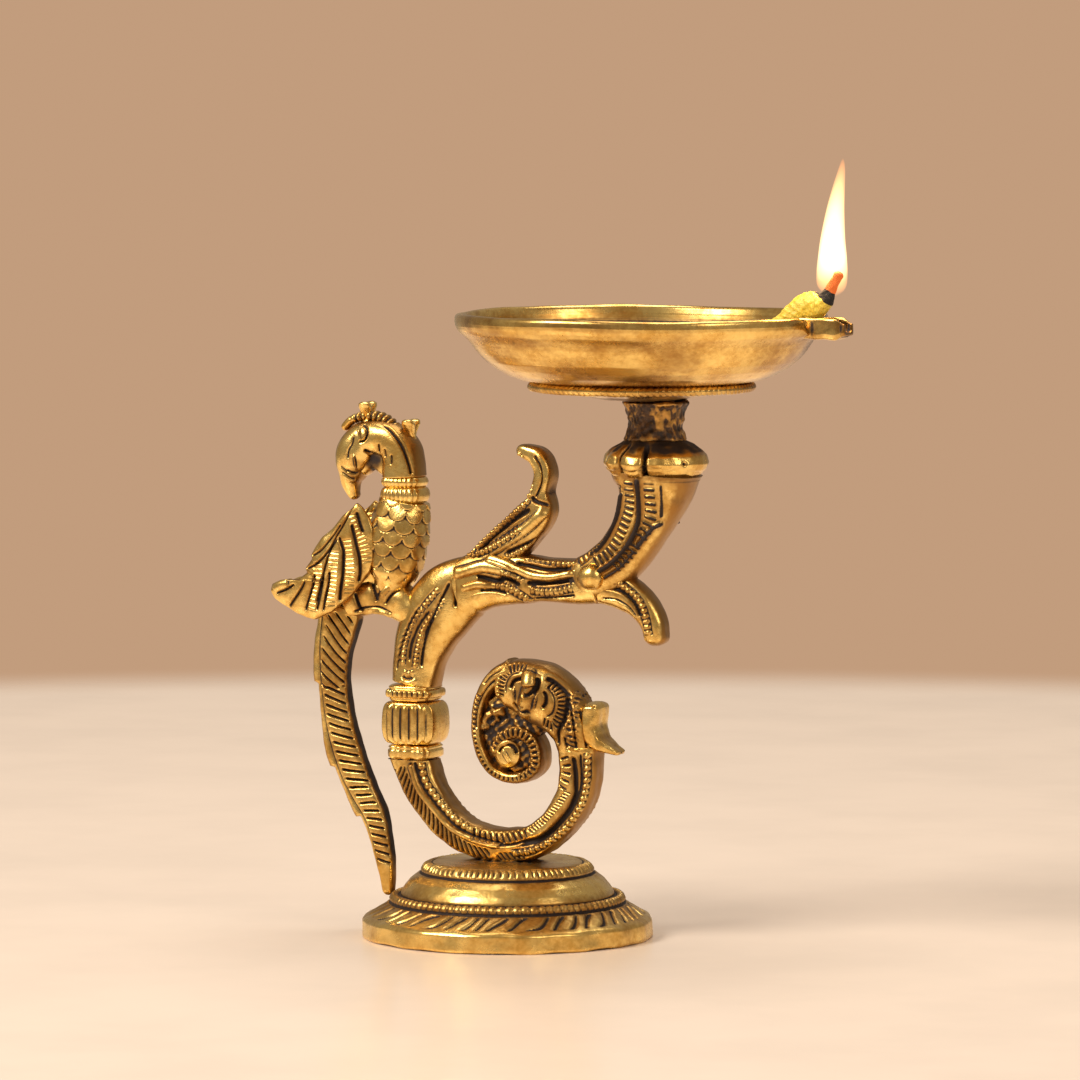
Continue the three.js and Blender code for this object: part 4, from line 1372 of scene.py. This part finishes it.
@dataclass
class Peacock:
    """The bird on the stem: scaled breast, fanned wings, hanging tail, and a head bowed onto its breast."""

    shop: Workshop
    breast_rows: Points = (
        (-32.4, 84.6, 5, 7), (-31.6, 88.2, 10, 10), (-31, 92, 12.2, 11.6), (-30.4, 96.6, 13.6, 12.4),
        (-29.7, 101.6, 13.8, 12.8), (-28.8, 106, 12.6, 12), (-28.2, 108.9, 11, 10.8),
    )
    tail_rows: Points = (
        (-45.6, 81.6, 11, 5.6), (-46.4, 78.5, 11.6, 5.6), (-47.9, 70, 9.4, 5.5), (-47.8, 60.6, 8.1, 5.5),
        (-46, 50, 8.6, 5.5), (-43, 41, 8.6, 5.4), (-39.9, 34.5, 7.8, 5.2), (-36.6, 28.6, 6.6, 5),
        (-34.3, 20.4, 5.2, 4.4), (-33.2, 13, 3.8, 3.6), (-32.9, 8.4, 2.4, 3),
    )
    perch_rows: Points = (
        (-44, 82, 7, 6.6), (-40, 83.6, 9, 7.4), (-36, 84.6, 9.6, 8.2), (-31, 84, 9.6, 9), (-25, 80.5, 8, 9),
    )
    rump_rows: Points = ((-32, 100, 10, 8), (-41, 93, 17, 7.4), (-49, 87, 12, 7), (-56, 84, 5, 5))
    head_rows: Points = (
        (-28.4, 115, 10.6, 10.8), (-28.6, 118.6, 10.4, 10.6), (-29.3, 121.4, 10.2, 10.4),
        (-31.4, 123.6, 9.6, 10.2), (-35.2, 124.6, 9, 10.2), (-38.8, 123.8, 9.8, 10.8),
        (-41.2, 121, 10.4, 11.4), (-42.3, 118, 9, 10.6), (-42.8, 115.6, 7, 8.4), (-43.2, 113.2, 5, 6),
        (-42.6, 110.6, 3.2, 4), (-41.6, 108.9, 2, 3),
    )
    throat_rows: Points = ((-40, 118.4, 7.4, 6.4), (-36.4, 119.6, 5.6, 6), (-32, 118.3, 7.6, 6.4))
    crest_rows: Points = (
        (-45.2, 126.6, 1.6, 3), (-42.6, 129, 1.8, 3.4), (-38.4, 130.1, 2.2, 3.8), (-34, 129.3, 2.6, 3.8),
        (-30.4, 126.6, 2.6, 3.6), (-27, 123, 2, 3), (-24.4, 118.6, 1.2, 2.4),
    )
    wing_outline: Points = (
        (-39, 108.4), (-40.4, 107.1), (-43, 105), (-45.5, 101.9), (-48.8, 99.3), (-50.5, 97.2), (-51.8, 94.9),
        (-51.4, 94.1), (-53.3, 91.3), (-52.8, 90.3), (-55.3, 88.7), (-57.6, 88.2), (-60.4, 88.2),
        (-62.9, 87.1), (-63.3, 85.3), (-62.1, 83.3), (-59.8, 81.9), (-57.9, 80.9), (-55.6, 79.7),
        (-53.1, 78.7), (-50.9, 78.3), (-49.2, 79), (-45.8, 80.6), (-43.3, 82.7), (-40.8, 84.6), (-38, 87.7),
        (-35.7, 90.8), (-34.6, 94.1), (-34.3, 97.9), (-34.6, 101.7), (-35.7, 104.7), (-37.4, 107.2),
    )
    scale_width: float = 4.5
    scale_height: float = 3.2

    def build(self) -> None:
        """Makes every part of the bird."""
        self._breast()
        self._body()
        self._tail()
        for side, name in ((-1, "wing_near"), (1, "wing_far")):
            self._wing(side, name)
        self._neck_rings()
        self._head()
        self._crest()
        for node in ("front_near", "front_far", "rear_near", "rear_far"):
            self._knob("crest_knob_" + node)

    def _breast(self) -> None:
        """Makes the breast, covered in overlapping round scales."""
        skin = bar(self.breast_rows, 2.4, 0.22)
        radius = self.scale_width / 2
        girth = skin.turn / (2 * math.pi) * 9 * self.scale_width
        up = skin.along
        height = np.zeros(up.shape)
        owned = np.zeros(up.shape, bool)
        line = np.zeros(up.shape)
        for row in range(11, -2, -1):
            shift = (row % 2) * radius
            dx = (girth - shift + radius) % self.scale_width - radius
            edge = up - (row * self.scale_height - np.sqrt(np.maximum(radius**2 - dx**2, 0)) * 1.12)
            mine = (edge > 0) & ~owned
            lip = 0.7 * smooth(0, 0.3, edge) * (1 - 0.8 * smooth(0, self.scale_height * 1.6, edge))
            height = np.where(mine, lip, height)
            owned |= mine
            line = np.where(mine, np.exp(-((edge / 0.3) ** 2)), line)
        face = smooth(3.5, 7, up)
        skin.raised(height * face + 0.05 * ripple(skin.points, 4)).stained_and_shaded(0.75 * line * face)
        self.shop.make("peacock_breast", skin)

    def _body(self) -> None:
        """Makes the rump between the wings, and the perch with its carved leaves."""
        rump = bar(self.rump_rows, 2.6, 0.35)
        self.shop.make("peacock_rump", rump.rippled(0.1, 5))
        perch = bar(self.perch_rows, 2.8, 0.24)
        perch.carved(
            ridge([(-40.2, 77.6), (-38.6, 79), (-36.6, 79.9), (-34.4, 80.3), (-32.4, 80.3), (-30.8, 79)],
                  0.8, 0.7),
            groove([(-41.4, 80.2), (-37.6, 81.6), (-33.4, 81.8), (-30, 80.4)], 0.45, 0.8),
            groove([(-40.9, 85.4), (-39.4, 81.6), (-38.8, 80.4)], 0.65, 1.2, 0.5),
            groove([(-36.5, 89.3), (-35.2, 86.4), (-34.1, 83.4)], 0.65, 1.2, 0.5),
            ridge([(-33.3, 84.9), (-31.6, 86.9), (-29.6, 88.5)], 1.1, 0.8),
            groove([(-34.4, 84.4), (-32.8, 86.8), (-30.8, 88.8)], 0.5, 1.0),
            groove([(-32, 82.8), (-30, 85.4), (-27.6, 87.4)], 0.5, 1.0),
        )
        self.shop.make("peacock_perch", perch.rippled(0.08, 4))

    def _tail(self) -> None:
        """Makes the long tail, with slanted cuts down its face and barbs on its outer edge."""
        skin = bar(self.tail_rows, 3.6, 0.22, (0, 1.5))
        skin.rippled(0.1, 5)
        skin.carved(
            rungs(skin.line(0.02, 0.28, 0.2), 3.9, 1.2, 2.8, -0.85),
            rungs(skin.line(0.27, 0.62, 0.2), 3.2, 1.2, 2.35, -0.5),
            rungs(skin.line(0.61, 0.9, 0.2, 0.05), 2.3, 1.0, 2.2, -0.4),
            groove(skin.line(0.02, 0.9, -0.68), 0.3, 0.3),
        )
        place = skin.along / skin.along.max()
        left = smooth(-0.7, -1.0, skin.across)
        barb = sum(smooth(start, stop, place) * smooth(stop + 0.012, stop, place)
                   for start, stop in ((0.3, 0.52), (0.58, 0.7), (0.05, 0.25)))
        skin.raised(1.1 * barb * left)
        # painted shade: the tail's right edge, away from the key light, is darkened
        skin.stained_and_shaded(0.9 * smooth(0.84, 1.0, skin.across) * smooth(0.97, 0.85, place))
        self.shop.make("tail_plume", skin)

    def _wing(self, side: int, name: str) -> None:
        """Makes one wing as a fan of feathers that spread from the shoulder.

        Args:
            side: -1 for the near wing and 1 for the far one; not used.
            name: The piece's name.
        """
        low, high = span(name)
        skin = plate(self.wing_outline, (-47.5, 88.5), (high - low)[1] / 2 + 0.4, 2.6, 0.24, 3)
        skin.rippled(0.1, 5)
        feathers = (
            [(-40.4, 107.1), (-41.6, 104.3), (-43.2, 101.5), (-44.6, 99.4), (-46, 96.6), (-48, 94.2),
             (-50.3, 92.4), (-53.1, 91.3)],
            [(-43, 103.2), (-45.8, 99.4), (-48.6, 96.2), (-51.4, 94.6)],
            [(-43.8, 99.4), (-45.2, 97.4), (-46.3, 95.3), (-47.5, 91.2), (-48, 88.6), (-48.6, 85.1),
             (-49.9, 80.6)],
            [(-46.1, 91.2), (-46.3, 88.2), (-47.2, 84.6), (-48.1, 80.5)],
            [(-50.3, 90.3), (-50.5, 87.8), (-51.7, 84.5), (-53.1, 80.4)],
            [(-52.8, 88.5), (-54.2, 85.9), (-56.2, 83.3), (-57.9, 81.2)],
            [(-48, 89.4), (-48.9, 85.6), (-49.8, 82.5)],
            [(-61.6, 84.7), (-58.7, 85.7), (-55.8, 87.4)],
        )
        quills = (
            [(-43.6, 100), (-42.4, 96.4), (-42.3, 93.9), (-42.4, 90.1), (-43, 86.8), (-43.5, 83)],
            [(-40.2, 103.3), (-39.3, 99.8), (-38.5, 96.8), (-37.8, 94), (-37.7, 90.8), (-38.3, 88)],
            [(-39, 106.4), (-38.2, 104.1), (-36.9, 100.7)],
        )
        vanes = (
            [(-44.7, 96.3), (-45, 92), (-45.2, 88.7), (-45.8, 84.7), (-46.1, 81.6)],
            [(-41.3, 99.5), (-40.8, 95.7), (-40.3, 92), (-40.5, 88.9), (-40.8, 85.2)],
            [(-39.6, 106), (-38.2, 101.4), (-36.7, 97.6), (-35.9, 93.4)],
            [(-49.3, 93.4), (-49.3, 89.6), (-50.2, 85), (-51.2, 80.6)],
        )
        skin.carved(
            *(groove(line, 0.42, 0.7) for line in feathers),
            *(groove(line, 0.55, 1.0) for line in quills),
            *(rungs(line, 1.5, 0.2, 1.13) for line in vanes),
            ridge([(-62, 85.6), (-60, 86.8), (-57.6, 87.4)], 1.3, 0.6, 0.5),
        )
        # darker along the outline on the wing's right part
        skin.stained_and_shaded(0.3 * smooth(0.96, 1.0, skin.across) * smooth(-56, -50, skin.x))
        skin.points[..., 1] += (low + high)[1] / 2
        self.shop.make(name, skin)

    def _neck_rings(self) -> None:
        """Makes the two ribbed rings round the neck."""
        for node in ("neck_ring_lower", "neck_ring_upper"):
            low, high = (corner[2] for corner in span(node))
            x, size = (-28.2, 11.3) if "lower" in node else (-28.3, 10.7)
            tall = high - low
            rows = [(x, low - 0.3, size - 2, size - 2), (x, low + 0.3, size - 0.7, size - 0.7),
                    (x, low + tall * 0.5, size, size), (x, high - 0.3, size - 0.7, size - 0.7),
                    (x, high + 0.3, size - 2, size - 2)]
            skin = bar(rows, 2.8, 0.2)
            nick = np.exp(-((saw(skin.across * 4.5) / 0.4) ** 2)) * smooth(0.3, 0.6, skin.facing())
            band = dome(np.clip((skin.along / (tall + 0.6) - 0.5) * 2.2, -1, 1))
            skin.raised(band * (0.25 - 0.35 * nick), 0.9)
            self.shop.make(node, skin)

    def _head(self) -> None:
        """Makes the neck and the bowed head, with its eye, cheek and throat lines, and a throat piece inside
        the head's arch that is darkened all over as painted shade.
        """
        # painted shade: the throat piece inside the head's arch is darkened all over as the shade there
        throat = bar(self.throat_rows, 3, 0.25).stained_and_shaded(0.85)
        self.shop.make("peacock_throat", throat, node="peacock_head")
        skin = bar(self.head_rows, 2.5, 0.2, (0, 0.9))
        skin.carved(
            ridge([(-38.8, 126.2), (-38.4, 126.3)], 2.3, 0.7, 0.1),
            ridge([(-40, 118.6), (-39.6, 118.6)], 1.9, 0.8, 0.1),
        )
        skin.carved(
            groove([(-38.3, 128.3), (-36.8, 127.2), (-36.5, 125.6), (-37.3, 124.1), (-38.8, 123.7)],
                   0.4, 0.9, 0.6),
            groove([(-40.1, 125.5), (-40.4, 123.3), (-41.4, 121.4), (-41.6, 119.2)], 0.35, 0.5),
            groove([(-42.4, 116.6), (-41.2, 115.8), (-39.8, 115.7), (-38, 116.6)], 0.4, 0.8),
            groove([(-37.6, 121.9), (-36.1, 120.8), (-34.5, 119.1), (-33.3, 117.3)], 0.5, 1.0),
            groove([(-44.4, 117.4), (-43.8, 117.2), (-41.8, 115.6)], 0.35, 0.7),
            groove([(-44.4, 115.8), (-43.4, 115.4), (-41.4, 114.1), (-40.2, 114)], 0.4, 0.8),
            groove([(-39.9, 112.6), (-39.6, 112.2)], 0.5, 0.7, 0.1),
            groove([(-33.3, 123.5), (-33.5, 120.9)], 0.4, 0.8, 0.5),
            groove([(-31.7, 122.3), (-31.5, 119.9)], 0.4, 0.8, 0.5),
            groove([(-29.7, 120.9), (-29.7, 118.1)], 0.4, 0.7, 0.5),
            groove([(-43.4, 127), (-41.4, 128.4), (-38.5, 129.2), (-35.7, 129.2), (-32.1, 128),
                    (-29.3, 125.8), (-26.9, 122.8), (-25.3, 119), (-24.4, 115.6)], 0.5, 1.0, 0.6),
        )
        skin.rippled(0.05, 5)
        self.shop.make("peacock_head", skin)

    def _crest(self) -> None:
        """Makes the notched ridge over the crown."""
        skin = bar(self.crest_rows, 2.4, 0.2, (1, 1.5))
        place = skin.along / skin.along.max()
        inner = smooth(0.12, 0.2, place) * smooth(0.88, 0.7, place)
        notch = np.exp(-((saw(skin.along / 1.45) / 0.4) ** 2)) * inner
        skin.raised(0.28 - 0.7 * notch, 0.8)
        self.shop.make("crest_ridge", skin)

    def _knob(self, node: str) -> None:
        """Makes one knob of the crest, a round head on a stout stalk.

        Args:
            node: The CAD node it stands for.
        """
        low, high = span(node)
        side = 1 if (low + high)[1] > 0 else -1
        x = (low[0] + high[0]) / 2
        tall = high[2] - low[2] + 1
        skin = turned(
            [(0, 0), (1.3, 0), (1.25, tall * 0.4), (1.5, tall * 0.6), (1.7, tall * 0.78), (1.5, tall * 0.93),
             (0.8, tall), (0, tall)],
            0, 0.16,
        )
        lean = 0.5
        local = skin.points.copy()
        z = low[2] - 1 + local[..., 2]
        outer = high[1] - 1.7 if side > 0 else -low[1] - 1.7
        skin.points = np.stack(
            [x + local[..., 0], local[..., 1] + side * (outer - lean * (high[2] - z)), z], axis=2
        )
        skin.rippled(0.03, 2)
        self.shop.make(node, skin)


# ---------------------------------------------------------------- the dish and the wick


@dataclass
class Dish:
    """The shallow oil dish, its roped foot, its spout and the stud it screws down on."""

    shop: Workshop
    rope_turns: int = 110
    thread_pitch: float = 1.0
    spout_steps: int = 64

    def build(self) -> None:
        """Makes the four pieces."""
        self._bowl()
        self._foot()
        self._spout()
        self._stud()

    def _bowl(self) -> None:
        """Makes the spun bowl with its rolled rim, let in at the spout."""
        low, high = span("dish_bowl")
        centre = (low + high)[0] / 2
        base, rim, radius = low[2], high[2], (high - low)[1] / 2
        skin = turned(
            [
                (0, base), (27, base), (30, base + 0.5), (33.5, 142.2), (36.4, 143.8), (38.9, 145.7),
                (41, 148), (42.2, 149.8), (43.1, 151), (44.1, 151.9), (45, 152.6), (45.7, 153.4),
                (radius - 0.2, 154.4), (radius, 155.6), (radius - 0.1, 156.9), (radius - 0.7, rim - 0.1),
                (radius - 1.4, rim), (radius - 2.2, rim - 0.5), (radius - 2.7, 155.4), (43.2, 153.4),
                (41.6, 151), (39.4, 148.4), (36.3, 145.9), (31.5, 143.6), (26, 142.4), (0, 142.2),
            ],
            centre, 0.5,
        )
        across, turn = skin.across, skin.turn
        z = skin.z
        outside = smooth(30, 34, across)
        turning = 0.035 * np.sin(z * 7) * smooth(0.2, 0.5, 1 - np.abs(skin.normals()[..., 2]))
        wave = 0.16 * np.sin(3 * turn + 0.8) + 0.1 * np.sin(7 * turn)
        skin.raised(outside * (turning + 0.08 * ripple(skin.points, 16)))
        skin.points[..., 2] += wave * smooth(40, 46, across)
        spout = np.exp(-((skin.points[..., 1] / 5.6) ** 4)) * smooth(42, 45, across) * (np.cos(turn) > 0)
        skin.points[..., 2] -= 3.4 * spout * smooth(151.5, 157, z)
        x, y = skin.x - centre, skin.points[..., 1]
        scar = np.exp(-(((x + 41) / 4) ** 2 + ((z - 151.3) / 0.5) ** 2)) * (y < 0)
        soot = smooth(44, 46, across) * np.exp(-((y / 7) ** 2)) * (x > 0) * 0.5
        skin.stained_and_shaded(np.clip(scar + soot, 0, 1))
        self.shop.make("dish_bowl", skin, Slot.DISH, "dish")

    def _foot(self) -> None:
        """Makes the dish's foot: a cone with a twisted rope round its edge."""
        low, high = span("dish_foot")
        centre = (low + high)[0] / 2
        radius = (high - low)[1] / 2
        skin = turned(
            [(0, low[2]), (9.8, low[2]), (13, 136.6), (21, 137.8), (25.6, 138.2), (26.6, 138.1),
             (27.8, 138.3), (radius, 139), (radius, 139.5), (27.8, high[2]), (27, high[2] + 0.4),
             (0, high[2] + 0.4)],
            centre, 0.3,
        )
        strand = saw(self.rope_turns * skin.turn / (2 * math.pi) + 0.55 * (skin.across - radius))
        edge = smooth(26.2, 26.8, skin.across)
        skin.raised(edge * 0.4 * (dome(strand * 0.96) - 0.6) + 0.06 * ripple(skin.points, 6))
        # painted shade on the underside towards the middle, under the dish; the roped edge is darkened too
        skin.stained_and_shaded(0.45 * smooth(20, 12, skin.across) + 0.3 * edge)
        self.shop.make("dish_foot", skin, Slot.DISH, "dish")

    def _spout(self) -> None:
        """Makes the wick's spout: a thick-walled channel let into the rim, black at its mouth."""
        low, high = span("dish_spout")
        half, wall = high[1], 1.15
        floor, top = low[2], high[2]
        outside = [
            (-half + 0.6, top), (-half + 0.35, top), (-half + 0.05, top - 0.35), (-half, floor + 1.4),
            (-half + 0.3, floor + 0.35), (-half + 1.2, floor), (half - 1.2, floor),
            (half - 0.3, floor + 0.35), (half, floor + 1.4), (half - 0.05, top - 0.35), (half - 0.35, top),
            (half - 0.6, top),
        ]
        inner = half - wall
        inside = [
            (inner + 0.5, top), (inner + 0.2, top), (inner, top - 0.3), (inner, floor + 2.2),
            (inner - 0.7, floor + 1.4), (0, floor + 1.15), (0.7 - inner, floor + 1.4), (-inner, floor + 2.2),
            (-inner, top - 0.3), (-inner - 0.2, top), (-inner - 0.5, top),
        ]
        halves = []
        for line in (np.array(outside), np.array(inside)):
            walked = lengths(line)
            halves.append(columns(line, walked, np.linspace(0, walked[-1], self.spout_steps)))
        y, z = np.concatenate(halves, axis=1)
        x = np.linspace(low[0], high[0], 70)[:, None]
        place = (x - low[0]) / (high[0] - low[0])
        flare = 1 - 0.04 * smooth(0.3, 0.9, place)
        end = smooth(0.78, 1.0, place)
        middle_z = (floor + top) / 2
        y = y * (flare - 0.12 * end)
        z = middle_z + (z - middle_z) * (1 - 0.45 * end) - 0.3 * place**2
        skin = skin_of(np.stack(np.broadcast_arrays(x, y, z), axis=2), x, channel=True)
        skin.rippled(0.1, 4)
        soot = 1.2 * smooth(0.88, 0.94, place) + np.exp(-(((x - 83.3) / 0.7) ** 2))
        skin.stained_and_shaded(np.clip(soot, 0, 1))
        self.shop.make("dish_spout", skin, Slot.DISH, "dish")

    def _stud(self) -> None:
        """Makes the threaded stud."""
        low, high = span("dish_stud")
        centre = (low + high)[0] / 2
        radius = (high - low)[1] / 2
        skin = turned([(0, low[2]), (radius - 0.7, low[2]), (radius, low[2] + 0.6), (radius, high[2]),
                       (0, high[2])],
                      centre, 0.12)
        wound = saw(skin.z / self.thread_pitch - skin.turn / (2 * math.pi))
        skin.raised(-0.3 * np.abs(wound) * smooth(radius - 0.9, radius - 0.2, skin.across))
        self.shop.make("dish_stud", skin, Slot.DARK, "dish_stud")


@dataclass
class Wick:
    """The cotton wick in the spout, and the flame on it, which isn't part of the lamp."""

    shop: Workshop
    rows: Points = (
        (46, 146.6, 3.2, 3.2), (58, 150.2, 3.6, 3.6), (70, 153.8, 3.9, 3.8), (74, 155.6, 4.4, 4.2),
        (77, 157.6, 6, 4.8), (80, 159.2, 7.4, 4.8), (83, 160.2, 7, 4.8), (85.2, 161.4, 4.6, 4),
        (86.8, 164.2, 2.8, 2.6), (89.2, 168.4, 2.4, 2.4),
    )
    flame_height: float = 34.4
    charred_from: float = 160.4
    glowing_from: float = 163.9
    fade: float = 0.8

    def build(self) -> None:
        """Makes the wick and lights it."""
        skin = bar(self.rows, 2, 0.2, (1.2, 0.9))
        place = skin.along / skin.along.max()
        twist = np.cos(7 * (skin.turn + skin.along * 0.55))
        skin.raised(0.05 * twist * smooth(1.0, 0.8, place) + 0.12 * ripple(skin.points, 1.8))
        piece = self.shop.make("wick", skin, Slot.WICK, "wick")
        z = skin.z + 0.35 * ripple(skin.points, 2.5, 5)
        x = skin.x
        level = z + 0.8 * (x - 86)
        starts = (self.charred_from, self.glowing_from)
        burnt = sum(smooth(start, start + self.fade, level) for start in starts)
        values = np.zeros(len(piece.data.vertices), np.float32)
        values[: burnt.size] = burnt.ravel()
        values[-1] = 2
        piece.data.attributes.new("burnt", "FLOAT", "POINT").data.foreach_set("value", values)
        self._light()

    def _light(self) -> None:
        """Makes the flame as a glowing drop of air, and the light that it gives."""
        x, y, z = 85.8, 2.2, 161.8
        rows = [(x, z, 2, 2), (x + 0.3, z + 2.7, 7, 6.4), (x + 0.4, z + 6.2, 7.8, 7),
                (x + 0.5, z + 10.2, 7.2, 6.6), (x + 0.6, z + 14.6, 6.2, 5.8), (x + 1.2, z + 21.2, 4.6, 4.4),
                (x + 2, z + 26.6, 3.2, 3.2), (x + 2.9, z + 31.7, 1.7, 1.7),
                (x + 3.2, z + self.flame_height, 0.5, 0.5)]
        skin = bar(rows, 2, 0.7, (2, 1))
        mesh = bpy.data.meshes.new("flame")
        points = (skin.points.reshape(-1, 3) + FOOT_MIDDLE + (0, y, 0)) * MM
        mesh.from_pydata(points.tolist(), [], Workshop._faces(skin).tolist())
        graph = Graph("flame_glow")
        low, high = z * MM, (z + self.flame_height) * MM
        level = graph.add("ShaderNodeSeparateXYZ", sockets={0: graph.place()}, output=2)
        colour = graph.add(
            "ShaderNodeValToRGB",
            {"stops": [(0.0, (0.05, 0.012, 0.003)), (0.12, (0.4, 0.17, 0.05)), (0.3, (1.0, 0.7, 0.34)),
                       (0.65, (1.0, 0.62, 0.26)), (1.0, (0.55, 0.15, 0.02))]},
            {0: graph.add("ShaderNodeMapRange", None, {"Value": level, "From Min": low, "From Max": high})},
        )
        glow = graph.add("ShaderNodeEmission", None, {"Color": colour, "Strength": 640.0})
        graph.tree.links.new(glow.socket, graph.output.inputs["Volume"])
        graph.tree.nodes.remove(graph.shader)
        mesh.materials.append(graph.material)
        flame = bpy.data.objects.new("flame", mesh)
        bpy.context.scene.collection.objects.link(flame)
        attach(flame, "wick")
        lamp = bpy.data.lights.new("flame_light", "POINT")
        lamp.energy, lamp.color, lamp.shadow_soft_size = 0.04, (1.0, 0.6, 0.28), 0.006
        glow_light = bpy.data.objects.new("flame_light", lamp)
        glow_light.location = (FOOT_MIDDLE + (x, 0, z + 12)) * MM
        bpy.context.scene.collection.objects.link(glow_light)
        glow_light.parent = flame


# ---------------------------------------------------------------- the studio


@dataclass(frozen=True)
class Studio:
    """A plain pale floor, soft lights and the camera."""

    camera_place: tuple = (707.7, -1589.6, 235.0)
    pitch: float = 4.4436
    azimuth: float = 23.73
    lens: float = 232.0
    floor_radius: float = 0.72
    sunk: float = 0.0001
    floor: tuple = (0.88, 0.72, 0.58)
    wall: tuple = (0.54, 0.335, 0.205)

    def build(self) -> None:
        """Sets up the floor, the world, the lights and the camera."""
        self._floor()
        self._world()
        bpy.context.scene.view_settings.view_transform = "Standard"
        self._lamp("key", (-0.75, -1.15, 1.25), 0.8, 35, (1.0, 0.94, 0.86))
        self._lamp("side", (1.5, -0.5, 0.9), 0.6, 6, (1.0, 0.9, 0.78))
        self._lamp("top", (0.1, 0.35, 1.5), 1.0, 14, (1.0, 0.95, 0.9))
        self._camera()

    def _floor(self) -> None:
        """Makes the pale floor, whose edge fades out."""
        bpy.ops.mesh.primitive_circle_add(vertices=96, radius=self.floor_radius, fill_type="NGON",
                                          location=FOOT_MIDDLE * MM - (0, 0, self.sunk))
        floor = bpy.context.object
        floor.name = "floor"
        graph = Graph("pale_floor")
        where = graph.place()
        distance = graph.add("ShaderNodeVectorMath", {"operation": "LENGTH"}, {0: where}, output="Value")
        edge = distance.step(self.floor_radius * 0.86, self.floor_radius * 0.995)
        cloud = graph.noise(60, 4)
        graph.feed(
            Base_Color=graph.mix(cloud.step(0.3, 0.75), self.floor, tuple(c * 0.93 for c in self.floor)),
            Roughness=0.22,
            Specular_IOR_Level=0.4,
        )
        clear = graph.add("ShaderNodeBsdfTransparent")
        shader = Value(graph, graph.shader.outputs[0])
        soft = graph.add("ShaderNodeMixShader", None, {0: edge, 1: shader, 2: clear})
        graph.tree.links.new(soft.socket, graph.output.inputs["Surface"])
        floor.data.materials.append(graph.material)

    def _world(self) -> None:
        """Gives the room its light, and the wall its colour where the camera sees it."""
        world = bpy.data.worlds.new("room")
        bpy.context.scene.world = world
        world.use_nodes = True
        nodes, links = world.node_tree.nodes, world.node_tree.links
        room = nodes["Background"]
        room.inputs["Color"].default_value = (0.95, 0.80, 0.66, 1)
        room.inputs["Strength"].default_value = 0.36
        wall = nodes.new("ShaderNodeBackground")
        wall.inputs["Color"].default_value = (*self.wall, 1)
        sight = nodes.new("ShaderNodeLightPath")
        both = nodes.new("ShaderNodeMixShader")
        links.new(sight.outputs["Is Camera Ray"], both.inputs[0])
        links.new(room.outputs[0], both.inputs[1])
        links.new(wall.outputs[0], both.inputs[2])
        links.new(both.outputs[0], nodes["World Output"].inputs["Surface"])

    def _lamp(self, name: str, place: tuple, size: float, power: float, colour: tuple) -> None:
        """Hangs one soft light that looks at the lamp.

        Args:
            name: Its name.
            place: Where it hangs, in metres.
            size: The side of its square.
            power: Its power in watts.
            colour: Its colour.
        """
        light = bpy.data.lights.new(name, "AREA")
        light.size, light.energy, light.color = size, power, colour
        hung = bpy.data.objects.new(name, light)
        hung.location = place
        aim = Vector((0, 0, 0.08)) - hung.location
        hung.rotation_euler = aim.to_track_quat("-Z", "Y").to_euler()
        bpy.context.scene.collection.objects.link(hung)

    def _camera(self) -> None:
        """Sets the camera."""
        lens = bpy.data.cameras.new("camera")
        lens.lens, lens.sensor_width, lens.clip_end = self.lens, 36.0, 20.0
        camera = bpy.data.objects.new("camera", lens)
        camera.location = (FOOT_MIDDLE + self.camera_place) * MM
        camera.rotation_euler = (math.radians(90 - self.pitch), 0, math.radians(self.azimuth))
        bpy.context.scene.collection.objects.link(camera)
        bpy.context.scene.camera = camera


def main() -> None:
    """Builds the lamp on its frame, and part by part."""
    logging.basicConfig(level=logging.INFO, format="%(name)s: %(message)s")
    Studio().build()
    shop = Workshop()
    for part in (Foot, Scroll, Collar, Branch, Peacock, Dish, Wick):
        part(shop).build()


if __name__ == "__main__":
    main()
